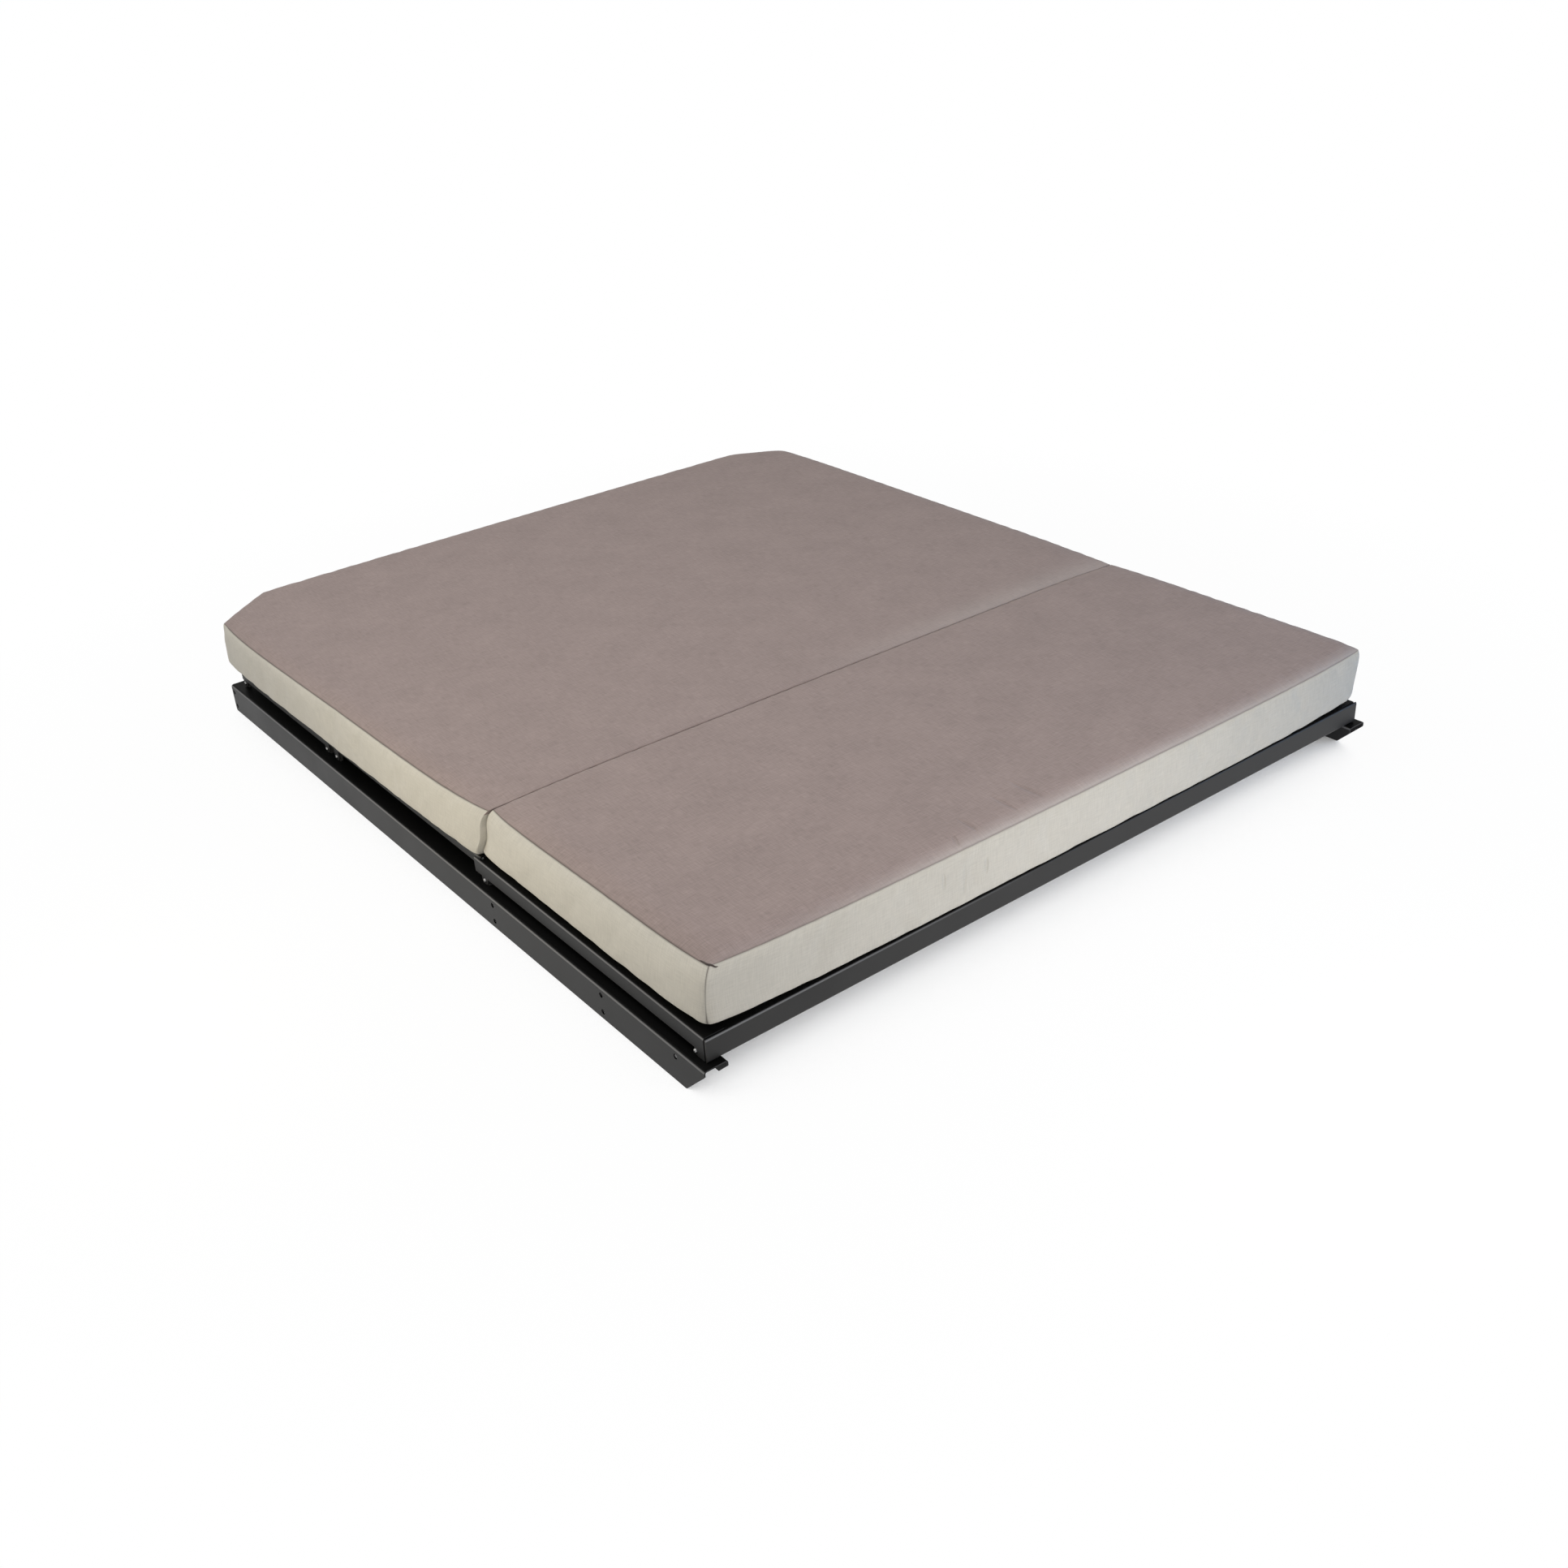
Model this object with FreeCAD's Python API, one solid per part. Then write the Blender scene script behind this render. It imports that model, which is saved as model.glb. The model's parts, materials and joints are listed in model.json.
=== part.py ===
import FreeCAD
import Part
import math
import os

# Sofa bed mechanism for a wide bay: two side rails of bent sheet carry a fixed seat frame and a
# back frame that swings up about hinges at the split between the two mattresses.
# Millimetres. +X is to the right, +Y to the back, +Z up. The origin is on the floor, in the middle
# of the footprint. Depths are counted backwards from the front ends of the rails.

V = FreeCAD.Vector

# Side rails: an upside-down channel with a tall outer flange and a short inner one. They stop
# short of the head panel's rear end.
RAIL_SPAN = 1800.0
RAIL_SHORTFALL = 107.0
RAIL_HEIGHT = 70.0
RAIL_WIDTH = 50.0
RAIL_LIP = 39.0
RAIL_SHEET = 3.0
RAIL_BEND = 3.0
RAIL_CHAMFER = 58.0
RAIL_CORNER = 6.0

# Fixing holes through the outer flanges of the rails
HOLE_RADIUS = 5.5
HOLE_LOW = 16.0
HOLE_PITCH = 37.0
HOLE_FRONT_DEPTH = 84.0
HOLE_PAIR_DEPTH = 315.0
HOLE_PAIR_PITCH = 391.0
HOLE_REAR_MARGIN = 12.0

# Deck frames of bent sheet
FRAME_MARGIN = 17.0
FRAME_SHEET = 3.0
FRAME_BEND = 2.5
BEAM_HEIGHT = 49.0
BEAM_TOP = 45.0
BEAM_LIP = 22.0
SEAT_SETBACK = 13.0
CORNER_SEAM = 4.0
SEAT_SIDE_DROP = 33.0
BACK_SIDE_DROP = 22.0
HEAD_SIDE_DROP = 33.0
BACK_INSET = 8.0
BACK_REST_GAP = 0.3

# Hinge line between the seat frame and the back frame
HINGE_DEPTH = 775.0
HINGE_RISE = 1.0
HINGE_COUNT = 3
HINGE_MARGIN = 193.0
HINGE_WIDTH = 90.0
KNUCKLE_RADIUS = 6.0
KNUCKLE_MIDDLE = 30.0
KNUCKLE_GAP = 0.3
PIN_RADIUS = 3.0
PIN_CLEARANCE = 0.05
PIN_PROUD = 2.0
LEAF_SHEET = 3.0
LEAF_DROP = 36.0
LEAF_RELIEF = 2.0
EAR_LENGTH = 18.0

# Lugs that hang from the frame sides beside the rails, and the glide pads behind them
LUG_WIDTH = 22.0
LUG_CORNER = 8.0
LUG_CLEARANCE = 1.0
FRONT_LUG_WIDTH = 28.0
SEAT_LUG_MARGIN = 18.0
BACK_LUG_MARGIN = 37.0
HEAD_FRONT_LUG_MARGIN = 13.0
HEAD_REAR_LUG_MARGIN = 16.0
PAD_THICKNESS = 6.0
PAD_WIDTH = 20.0
PAD_HEIGHT = 24.0

# Back frame: a middle panel and a head panel with clipped corners, plated together
PANEL_JOINT_DEPTH = 1494.0
JOINT_PLATE = 2.0
JOINT_PLATE_WIDTH = 70.0
JOINT_PLATE_HEIGHT = 30.0
JOINT_PLATE_COUNT = 4
JOINT_PLATE_MARGIN = 125.0
HEAD_END_DEPTH = 2135.0
CLIP_ACROSS = 150.0
CLIP_ALONG = 130.0

# Slats of bent sheet between the beams
SLAT_COUNT = 11
SLAT_WIDTH = 70.0
SLAT_DROP = 16.0
SLAT_SHEET = 1.5

# Mattresses
MATTRESS_MARGIN = 1.0
MATTRESS_THICKNESS = 118.0
MATTRESS_LIFT = 0.3
MATTRESS_SETBACK = 33.0
MATTRESS_GAP = 3.0
MATTRESS_OVERHANG = 10.0
MATTRESS_EDGE = 20.0
MATTRESS_CORNER = 32.0

DECK_TOP = RAIL_HEIGHT + BEAM_HEIGHT
HINGE_HEIGHT = DECK_TOP + HINGE_RISE
RAIL_LENGTH = HEAD_END_DEPTH - RAIL_SHORTFALL
SEAT_HALF = RAIL_SPAN / 2 - FRAME_MARGIN
BACK_HALF = SEAT_HALF - BACK_INSET
SEAT_END_DEPTH = HINGE_DEPTH - KNUCKLE_RADIUS
BACK_START_DEPTH = HINGE_DEPTH + KNUCKLE_RADIUS
BACK_END_DEPTH = PANEL_JOINT_DEPTH - JOINT_PLATE / 2
HEAD_START_DEPTH = PANEL_JOINT_DEPTH + JOINT_PLATE / 2
SEAT_LUG_DEPTH = HINGE_DEPTH - SEAT_LUG_MARGIN
BACK_LUG_DEPTH = BACK_END_DEPTH - BACK_LUG_MARGIN
HEAD_FRONT_LUG_DEPTH = HEAD_START_DEPTH + HEAD_FRONT_LUG_MARGIN
HEAD_REAR_LUG_DEPTH = HEAD_END_DEPTH - CLIP_ALONG - HEAD_REAR_LUG_MARGIN
MATTRESS_HALF = SEAT_HALF - MATTRESS_MARGIN
TOTAL_LENGTH = HEAD_END_DEPTH + MATTRESS_OVERHANG
X_AXIS = V(1, 0, 0)


def at(depth):
    """Y of a depth behind the front ends of the rails."""
    return depth - TOTAL_LENGTH / 2


def box(low, high):
    """Block between two corners."""
    size = V(*high) - V(*low)
    return Part.makeBox(size.x, size.y, size.z, V(*low))


def turned_corners(points, radius):
    """Start, centre, end and turn of each bend of a sheet's middle line."""
    corners = []
    for before, corner, after in zip(points, points[1:], points[2:]):
        inward = (V(*corner, 0) - V(*before, 0)).normalize()
        outward = (V(*after, 0) - V(*corner, 0)).normalize()
        turn = math.copysign(1, inward.cross(outward).z)
        reach = radius * math.tan(inward.getAngle(outward) / 2)
        start = V(*corner, 0) - inward * reach
        centre = start + V(-inward.y, inward.x, 0) * (turn * radius)
        corners.append((start, centre, V(*corner, 0) + outward * reach, turn))
    return corners


def sheet_side(points, radius, shift):
    """Edges of one face of a bent sheet, shifted to the left of its middle line."""
    corners = turned_corners(points, radius)
    edges = []
    last = V(*points[0], 0)
    for number, (start, centre, end, turn) in enumerate(corners):
        scale = (radius - turn * shift) / radius
        arc_start = centre + (start - centre) * scale
        arc_end = centre + (end - centre) * scale
        middle = V(*points[number + 1], 0) - centre
        arc_middle = centre + middle.normalize() * (radius * scale)
        if number == 0:
            last = last + (arc_start - start)
        edges.append(Part.LineSegment(last, arc_start).toShape())
        edges.append(Part.Arc(arc_start, arc_middle, arc_end).toShape())
        last = arc_end
    start, centre, end, turn = corners[-1]
    final = V(*points[-1], 0) + (last - end)
    edges.append(Part.LineSegment(last, final).toShape())
    return edges


def bent_section(points, sheet, bend):
    """Face of a sheet bent along its middle line, in the plane of its points."""
    radius = bend + sheet / 2
    left = sheet_side(points, radius, sheet / 2)
    right = sheet_side(points, radius, -sheet / 2)
    ends = [
        Part.LineSegment(left[0].firstVertex().Point, right[0].firstVertex().Point).toShape(),
        Part.LineSegment(left[-1].lastVertex().Point, right[-1].lastVertex().Point).toShape(),
    ]
    return Part.Face(Part.Wire(Part.__sortEdges__(left + right + ends)))


def along_y(section, front, back):
    """Prism of a section drawn in X and Z, from one Y to another."""
    placed = section.copy()
    placed.rotate(V(0, 0, 0), X_AXIS, 90)
    placed.translate(V(0, front, 0))
    return placed.extrude(V(0, back - front, 0))


def along_x(section, left, right):
    """Prism of a section drawn in Y and Z, from one X to another."""
    placed = section.copy()
    placed.rotate(V(0, 0, 0), V(1, 1, 1), 120)
    placed.translate(V(left, 0, 0))
    return placed.extrude(V(right - left, 0, 0))


def rounded_outline(points, radii):
    """Face with the given corners, each turned by its own radius where that is not nought."""
    edges = []
    count = len(points)
    tips = []
    for number, radius in enumerate(radii):
        corner = V(*points[number], 0)
        inward = (corner - V(*points[number - 1], 0)).normalize()
        outward = (V(*points[(number + 1) % count], 0) - corner).normalize()
        half = inward.getAngle(outward) / 2
        reach = radius * math.tan(half)
        start = corner - inward * reach
        end = corner + outward * reach
        bisector = (outward - inward).normalize()
        middle = corner + bisector * (radius / math.cos(half) - radius)
        tips.append((start, middle, end))
    for number, radius in enumerate(radii):
        start, middle, end = tips[number]
        if radius:
            edges.append(Part.Arc(start, middle, end).toShape())
        edges.append(Part.LineSegment(end, tips[(number + 1) % count][0]).toShape())
    return Part.Face(Part.Wire(edges))


def spread(reach, count):
    """Evenly spaced X places from one side of the middle to the other."""
    return [-reach + 2 * reach * number / (count - 1) for number in range(count)]


def mirrored(shape):
    """The same piece on the other side."""
    return shape.mirror(V(0, 0, 0), X_AXIS)


def rail():
    """Left side rail, with its sloping front end and its fixing holes."""
    outer = -RAIL_SPAN / 2 + RAIL_SHEET / 2
    inner = -RAIL_SPAN / 2 + RAIL_WIDTH - RAIL_SHEET / 2
    web = RAIL_HEIGHT - RAIL_SHEET / 2
    middle_line = [(outer, 0), (outer, web), (inner, web), (inner, RAIL_HEIGHT - RAIL_LIP)]
    channel = along_y(bent_section(middle_line, RAIL_SHEET, RAIL_BEND), at(0), at(RAIL_LENGTH))
    side_view = rounded_outline(
        [
            (at(RAIL_CHAMFER), 0),
            (at(RAIL_LENGTH), 0),
            (at(RAIL_LENGTH), RAIL_HEIGHT),
            (at(0), RAIL_HEIGHT),
            (at(0), RAIL_CHAMFER),
        ],
        [RAIL_CORNER, RAIL_CORNER, 0, 0, RAIL_CORNER],
    )
    channel = channel.common(along_x(side_view, -RAIL_SPAN / 2, -RAIL_SPAN / 2 + RAIL_WIDTH))
    for depth, height in rail_holes():
        start = V(-RAIL_SPAN / 2 - RAIL_SHEET, at(depth), height)
        channel = channel.cut(Part.makeCylinder(HOLE_RADIUS, RAIL_SHEET * 3, start, X_AXIS))
    return channel


def rail_holes():
    """Depth and height of each fixing hole in a rail."""
    top = HOLE_LOW + HOLE_PITCH
    pairs = [HOLE_PAIR_DEPTH, HOLE_PAIR_DEPTH + HOLE_PAIR_PITCH, RAIL_LENGTH - HOLE_REAR_MARGIN]
    holes = [(HOLE_FRONT_DEPTH, top)]
    for depth in pairs:
        holes.append((depth, HOLE_LOW))
        holes.append((depth, top))
    return holes


def beam(face_depth, facing, rest_gap, end_reach):
    """Cross beam with its upright face at a depth and its flanges running to one side.

    facing is 1 where the flanges run backwards and -1 where they run forwards, and end_reach is the
    beam's half length.
    """
    upright = at(face_depth) + facing * FRAME_SHEET / 2
    top = DECK_TOP - FRAME_SHEET / 2
    low = RAIL_HEIGHT + rest_gap + FRAME_SHEET / 2
    middle_line = [
        (at(face_depth) + facing * BEAM_LIP, low),
        (upright, low),
        (upright, top),
        (at(face_depth) + facing * BEAM_TOP, top),
    ]
    section = bent_section(middle_line, FRAME_SHEET, FRAME_BEND)
    return along_x(section, -end_reach, end_reach)


def inner_beam(face_depth, facing, half, rest_gap):
    """Cross beam between two frame sides, notched under their top flanges."""
    end_reach = half - FRAME_SHEET - PAD_THICKNESS
    shape = beam(face_depth, facing, rest_gap, end_reach)
    span = sorted([at(face_depth), at(face_depth) + facing * BEAM_TOP])
    for side in (-1, 1):
        reach = sorted([side * (half - BEAM_TOP), side * half])
        notch = box(
            (reach[0], span[0], DECK_TOP - FRAME_SHEET),
            (reach[1], span[1], DECK_TOP),
        )
        shape = shape.cut(notch)
    return shape


def seat_front_beam():
    """Front beam: its face runs the whole width, and its flanges stop at the frame sides."""
    shape = beam(SEAT_SETBACK, 1, 0, SEAT_HALF)
    behind_face = at(SEAT_SETBACK + FRAME_SHEET)
    for side in (-1, 1):
        top_reach = sorted([side * (SEAT_HALF - BEAM_TOP), side * SEAT_HALF])
        top_notch = box(
            (top_reach[0], behind_face, DECK_TOP - FRAME_SHEET - FRAME_BEND),
            (top_reach[1], at(SEAT_SETBACK + BEAM_TOP), DECK_TOP),
        )
        lip_reach = sorted([side * (SEAT_HALF - FRAME_SHEET - PAD_THICKNESS), side * SEAT_HALF])
        lip_notch = box(
            (lip_reach[0], behind_face, RAIL_HEIGHT),
            (lip_reach[1], at(SEAT_SETBACK + BEAM_TOP), DECK_TOP),
        )
        shape = shape.cut(top_notch).cut(lip_notch)
    return shape


def lug(half, drop, start, end, corners, rest_gap):
    """Lug on the left that hangs from a frame side down to just above the rail."""
    outline = rounded_outline(
        [
            (at(start), DECK_TOP - drop + FRAME_SHEET),
            (at(start), RAIL_HEIGHT + LUG_CLEARANCE + rest_gap),
            (at(end), RAIL_HEIGHT + LUG_CLEARANCE + rest_gap),
            (at(end), DECK_TOP - drop + FRAME_SHEET),
        ],
        [0, corners[0], corners[1], 0],
    )
    return along_x(outline, -half, -half + FRAME_SHEET)


def side(half, drop, start, end):
    """Left frame side: an upright flange under a top flange that runs inwards."""
    outer = -half + FRAME_SHEET / 2
    top = DECK_TOP - FRAME_SHEET / 2
    middle_line = [(outer, DECK_TOP - drop), (outer, top), (-half + BEAM_TOP, top)]
    section = bent_section(middle_line, FRAME_SHEET, FRAME_BEND)
    return along_y(section, at(start), at(end))


def seat_side():
    """Left side of the seat, with a foot lug at the front, one at the back and an end ear."""
    start = SEAT_SETBACK + FRAME_SHEET + CORNER_SEAM
    end = HINGE_DEPTH + EAR_LENGTH
    shape = side(SEAT_HALF, SEAT_SIDE_DROP, start, end)
    ear_clear = box(
        (-SEAT_HALF + FRAME_SHEET, at(SEAT_END_DEPTH), DECK_TOP - SEAT_SIDE_DROP),
        (-SEAT_HALF + BEAM_TOP, at(end), DECK_TOP),
    )
    front_end = start + FRONT_LUG_WIDTH
    rear_start = SEAT_LUG_DEPTH - LUG_WIDTH / 2
    front_lug = lug(SEAT_HALF, SEAT_SIDE_DROP, start, front_end, (0, LUG_CORNER), 0)
    rear_lug = lug(
        SEAT_HALF, SEAT_SIDE_DROP, rear_start, rear_start + LUG_WIDTH, (LUG_CORNER, LUG_CORNER), 0
    )
    return shape.cut(ear_clear).fuse([front_lug, rear_lug]).removeSplitter()


def back_side():
    """Left side of the middle panel, with a lug at its rear end."""
    shape = side(BACK_HALF, BACK_SIDE_DROP, BACK_START_DEPTH, BACK_END_DEPTH)
    start = BACK_LUG_DEPTH - LUG_WIDTH / 2
    corners = (LUG_CORNER, LUG_CORNER)
    rear_lug = lug(
        BACK_HALF, BACK_SIDE_DROP, start, start + LUG_WIDTH, corners, BACK_REST_GAP
    )
    return shape.fuse(rear_lug).removeSplitter()


def head_path(inset):
    """Corners of the head panel's edge from the front left round to the front right, drawn in."""
    end = HEAD_END_DEPTH - inset
    half = BACK_HALF - inset
    lean = math.atan2(CLIP_ALONG, CLIP_ACROSS)
    along = CLIP_ALONG - inset * (1 - math.tan((math.pi / 2 - lean) / 2))
    across = CLIP_ACROSS - inset * (1 - math.tan(lean / 2))
    return [
        (-half, at(HEAD_START_DEPTH)),
        (-half, at(end - along)),
        (-half + across, at(end)),
        (half - across, at(end)),
        (half, at(end - along)),
        (half, at(HEAD_START_DEPTH)),
    ]


def upright_block(corners, low, high):
    """Block over a flat outline, from one height to another."""
    points = [V(x, y, low) for x, y in corners]
    return Part.Face(Part.makePolygon(points + points[:1])).extrude(V(0, 0, high - low))


def head_run(number):
    """One straight run of the head panel's bent edge, mitred to its neighbours."""
    edge = head_path(0)[number : number + 2]
    wall_inner = head_path(FRAME_SHEET)[number : number + 2]
    top_inner = head_path(BEAM_TOP)[number : number + 2]
    under = DECK_TOP - FRAME_SHEET
    wall = upright_block(edge + wall_inner[::-1], DECK_TOP - HEAD_SIDE_DROP, DECK_TOP)
    top = upright_block(edge + top_inner[::-1], under, DECK_TOP)
    run = wall.fuse(top).removeSplitter()
    outer_bend = edge_between(run, edge, DECK_TOP)
    run = run.makeFillet(FRAME_BEND + FRAME_SHEET, outer_bend)
    inner_bend = edge_between(run, wall_inner, under)
    return run.makeFillet(FRAME_BEND, inner_bend)


def edge_between(shape, ends, height):
    """The edges of a shape whose middle is the middle of two points at a height."""
    middle = (V(*ends[0], height) + V(*ends[1], height)) * 0.5
    return [edge for edge in shape.Edges if edge.CenterOfMass.distanceToPoint(middle) < FRAME_SHEET / 4]


def head_side():
    """Left side of the head panel, with a lug near each end."""
    corners = (LUG_CORNER, LUG_CORNER)
    lugs = []
    for depth in (HEAD_FRONT_LUG_DEPTH, HEAD_REAR_LUG_DEPTH):
        start = depth - LUG_WIDTH / 2
        lugs.append(lug(BACK_HALF, HEAD_SIDE_DROP, start, start + LUG_WIDTH, corners, BACK_REST_GAP))
    return head_run(0).fuse(lugs).removeSplitter()


def folded_channel(width, drop, sheet, top):
    """Section of an upside-down channel with sharp folds, drawn in X and Z about X nought."""
    outer = width / 2
    inner = outer - sheet
    low = top - drop
    points = [
        V(-outer, low, 0),
        V(-outer, top, 0),
        V(outer, top, 0),
        V(outer, low, 0),
        V(inner, low, 0),
        V(inner, top - sheet, 0),
        V(-inner, top - sheet, 0),
        V(-inner, low, 0),
    ]
    return Part.Face(Part.makePolygon(points + points[:1]))


def slats(half, start, end, limit):
    """Slats that run from beam to beam, evenly spaced between the frame sides."""
    clear = 2 * (half - BEAM_TOP)
    pitch = (clear - SLAT_COUNT * SLAT_WIDTH) / (SLAT_COUNT + 1) + SLAT_WIDTH
    section = folded_channel(SLAT_WIDTH, SLAT_DROP, SLAT_SHEET, DECK_TOP)
    made = []
    for number in range(SLAT_COUNT):
        slat = along_y(section, at(start), at(end))
        slat.translate(V((number - (SLAT_COUNT - 1) / 2) * pitch, 0, 0))
        if limit:
            slat = slat.common(limit)
        made.append(slat)
    return Part.makeCompound(made)


def pads(half, centres, rest_gap):
    """Glide pads behind the lugs on both sides, resting on the rails."""
    made = []
    for depth in centres:
        pad = box(
            (-half + FRAME_SHEET, at(depth - PAD_WIDTH / 2), RAIL_HEIGHT + rest_gap),
            (-half + FRAME_SHEET + PAD_THICKNESS, at(depth + PAD_WIDTH / 2), RAIL_HEIGHT + PAD_HEIGHT),
        )
        made.append(pad)
        made.append(mirrored(pad))
    return Part.makeCompound(made)


def joint_plates():
    """Plates that hold the middle panel and the head panel together."""
    made = []
    middle = (RAIL_HEIGHT + DECK_TOP) / 2
    for centre in spread(BACK_HALF - JOINT_PLATE_MARGIN, JOINT_PLATE_COUNT):
        made.append(
            box(
                (centre - JOINT_PLATE_WIDTH / 2, at(BACK_END_DEPTH), middle - JOINT_PLATE_HEIGHT / 2),
                (centre + JOINT_PLATE_WIDTH / 2, at(HEAD_START_DEPTH), middle + JOINT_PLATE_HEIGHT / 2),
            )
        )
    return Part.makeCompound(made)


def hinge_leaf(centre, facing, spans):
    """Hinge leaf against a beam: facing is -1 for the seat's leaf and 1 for the back's.

    spans are the stretches of its knuckle, from the hinge's middle.
    """
    far = at(HINGE_DEPTH) + facing * KNUCKLE_RADIUS
    near = far - facing * LEAF_SHEET
    depth = sorted([far, near])
    plate_top = HINGE_HEIGHT - KNUCKLE_RADIUS - LEAF_RELIEF
    low = DECK_TOP - LEAF_DROP
    leaf = box(
        (centre - HINGE_WIDTH / 2, depth[0], low),
        (centre + HINGE_WIDTH / 2, depth[1], plate_top),
    )
    bore = PIN_RADIUS + PIN_CLEARANCE
    for start, end in spans:
        tab = box((centre + start, depth[0], low), (centre + end, depth[1], HINGE_HEIGHT))
        base = V(centre + start, at(HINGE_DEPTH), HINGE_HEIGHT)
        knuckle = Part.makeCylinder(KNUCKLE_RADIUS, end - start, base, X_AXIS)
        leaf = leaf.fuse([tab, knuckle])
    hole_start = V(centre - HINGE_WIDTH, at(HINGE_DEPTH), HINGE_HEIGHT)
    leaf = leaf.cut(Part.makeCylinder(bore, HINGE_WIDTH * 2, hole_start, X_AXIS))
    return leaf.removeSplitter()


def hinge_pin(centre):
    """Pin through the three stretches of a hinge's knuckle."""
    base = V(centre - HINGE_WIDTH / 2 - PIN_PROUD, at(HINGE_DEPTH), HINGE_HEIGHT)
    return Part.makeCylinder(PIN_RADIUS, HINGE_WIDTH + 2 * PIN_PROUD, base, X_AXIS)


def hinges():
    """The leaves and the pin of each hinge, by name."""
    middle = KNUCKLE_MIDDLE / 2
    outer = HINGE_WIDTH / 2
    seat_spans = [(-outer, -middle - KNUCKLE_GAP), (middle + KNUCKLE_GAP, outer)]
    made = {}
    for number, centre in enumerate(spread(SEAT_HALF - HINGE_MARGIN, HINGE_COUNT)):
        name = "hinge_%d" % (number + 1)
        made[name + "_seat_leaf"] = hinge_leaf(centre, -1, seat_spans)
        made[name + "_back_leaf"] = hinge_leaf(centre, 1, [(-middle, middle)])
        made[name + "_pin"] = hinge_pin(centre)
    return made


def mattress(outline):
    """Cushion over an outline, with every edge turned."""
    block = outline.extrude(V(0, 0, MATTRESS_THICKNESS))
    block.translate(V(0, 0, DECK_TOP + MATTRESS_LIFT))
    upright = [edge for edge in block.Edges if edge.BoundBox.ZLength > MATTRESS_THICKNESS / 2]
    block = block.makeFillet(MATTRESS_CORNER, upright)
    level = [edge for edge in block.Edges if edge.BoundBox.ZLength < MATTRESS_THICKNESS / 2]
    return block.makeFillet(MATTRESS_EDGE, level)


def front_mattress():
    """Cushion over the seat frame."""
    half = MATTRESS_HALF
    points = [
        V(-half, at(MATTRESS_SETBACK), 0),
        V(half, at(MATTRESS_SETBACK), 0),
        V(half, at(HINGE_DEPTH - MATTRESS_GAP / 2), 0),
        V(-half, at(HINGE_DEPTH - MATTRESS_GAP / 2), 0),
    ]
    return mattress(Part.Face(Part.makePolygon(points + points[:1])))


def rear_mattress():
    """Cushion over the back frame, with its rear corners clipped."""
    half = MATTRESS_HALF
    end = HEAD_END_DEPTH + MATTRESS_OVERHANG
    points = [
        V(-half, at(HINGE_DEPTH + MATTRESS_GAP / 2), 0),
        V(half, at(HINGE_DEPTH + MATTRESS_GAP / 2), 0),
        V(half, at(end - CLIP_ALONG), 0),
        V(half - CLIP_ACROSS, at(end), 0),
        V(-half + CLIP_ACROSS, at(end), 0),
        V(-half, at(end - CLIP_ALONG), 0),
    ]
    return mattress(Part.Face(Part.makePolygon(points + points[:1])))


def pieces():
    """Every piece of the object, by name."""
    left_rail = rail()
    left_seat_side = seat_side()
    left_back_side = back_side()
    left_head_side = head_side()
    front_lug_depth = SEAT_SETBACK + FRAME_SHEET + CORNER_SEAM + FRONT_LUG_WIDTH / 2
    head_lugs = [BACK_LUG_DEPTH, HEAD_FRONT_LUG_DEPTH, HEAD_REAR_LUG_DEPTH]
    made = {
        "left_rail": left_rail,
        "right_rail": mirrored(left_rail),
        "seat_front_beam": seat_front_beam(),
        "seat_rear_beam": inner_beam(SEAT_END_DEPTH, -1, SEAT_HALF, 0),
        "seat_left_side": left_seat_side,
        "seat_right_side": mirrored(left_seat_side),
        "seat_slats": slats(SEAT_HALF, SEAT_SETBACK + BEAM_TOP, SEAT_END_DEPTH - BEAM_TOP, None),
        "seat_glides": pads(SEAT_HALF, [front_lug_depth, SEAT_LUG_DEPTH], 0),
        "back_front_beam": inner_beam(BACK_START_DEPTH, 1, BACK_HALF, BACK_REST_GAP),
        "back_rear_beam": inner_beam(BACK_END_DEPTH, -1, BACK_HALF, BACK_REST_GAP),
        "back_left_side": left_back_side,
        "back_right_side": mirrored(left_back_side),
        "back_slats": slats(BACK_HALF, BACK_START_DEPTH + BEAM_TOP, BACK_END_DEPTH - BEAM_TOP, None),
        "head_front_beam": inner_beam(HEAD_START_DEPTH, 1, BACK_HALF, BACK_REST_GAP),
        "head_left_side": left_head_side,
        "head_right_side": mirrored(left_head_side),
        "head_left_corner": head_run(1),
        "head_right_corner": head_run(3),
        "head_end_beam": head_run(2),
        "head_slats": slats(
            BACK_HALF,
            HEAD_START_DEPTH + BEAM_TOP,
            HEAD_END_DEPTH,
            upright_block(head_path(BEAM_TOP), DECK_TOP - SLAT_DROP, DECK_TOP),
        ),
        "joint_plates": joint_plates(),
        "back_glides": pads(BACK_HALF, head_lugs, BACK_REST_GAP),
        "front_mattress": front_mattress(),
        "rear_mattress": rear_mattress(),
    }
    made.update(hinges())
    return made


def main():
    """Write each piece to its own file."""
    os.makedirs("parts", exist_ok=True)
    for name, shape in pieces().items():
        if not shape.isValid():
            raise ValueError("piece is not a valid shape: " + name)
        shape.exportStep(os.path.join("parts", name + ".step"))


main()
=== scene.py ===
import bmesh
import bpy
import json
import math
import numpy as np
from mathutils import Matrix, Vector


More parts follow.
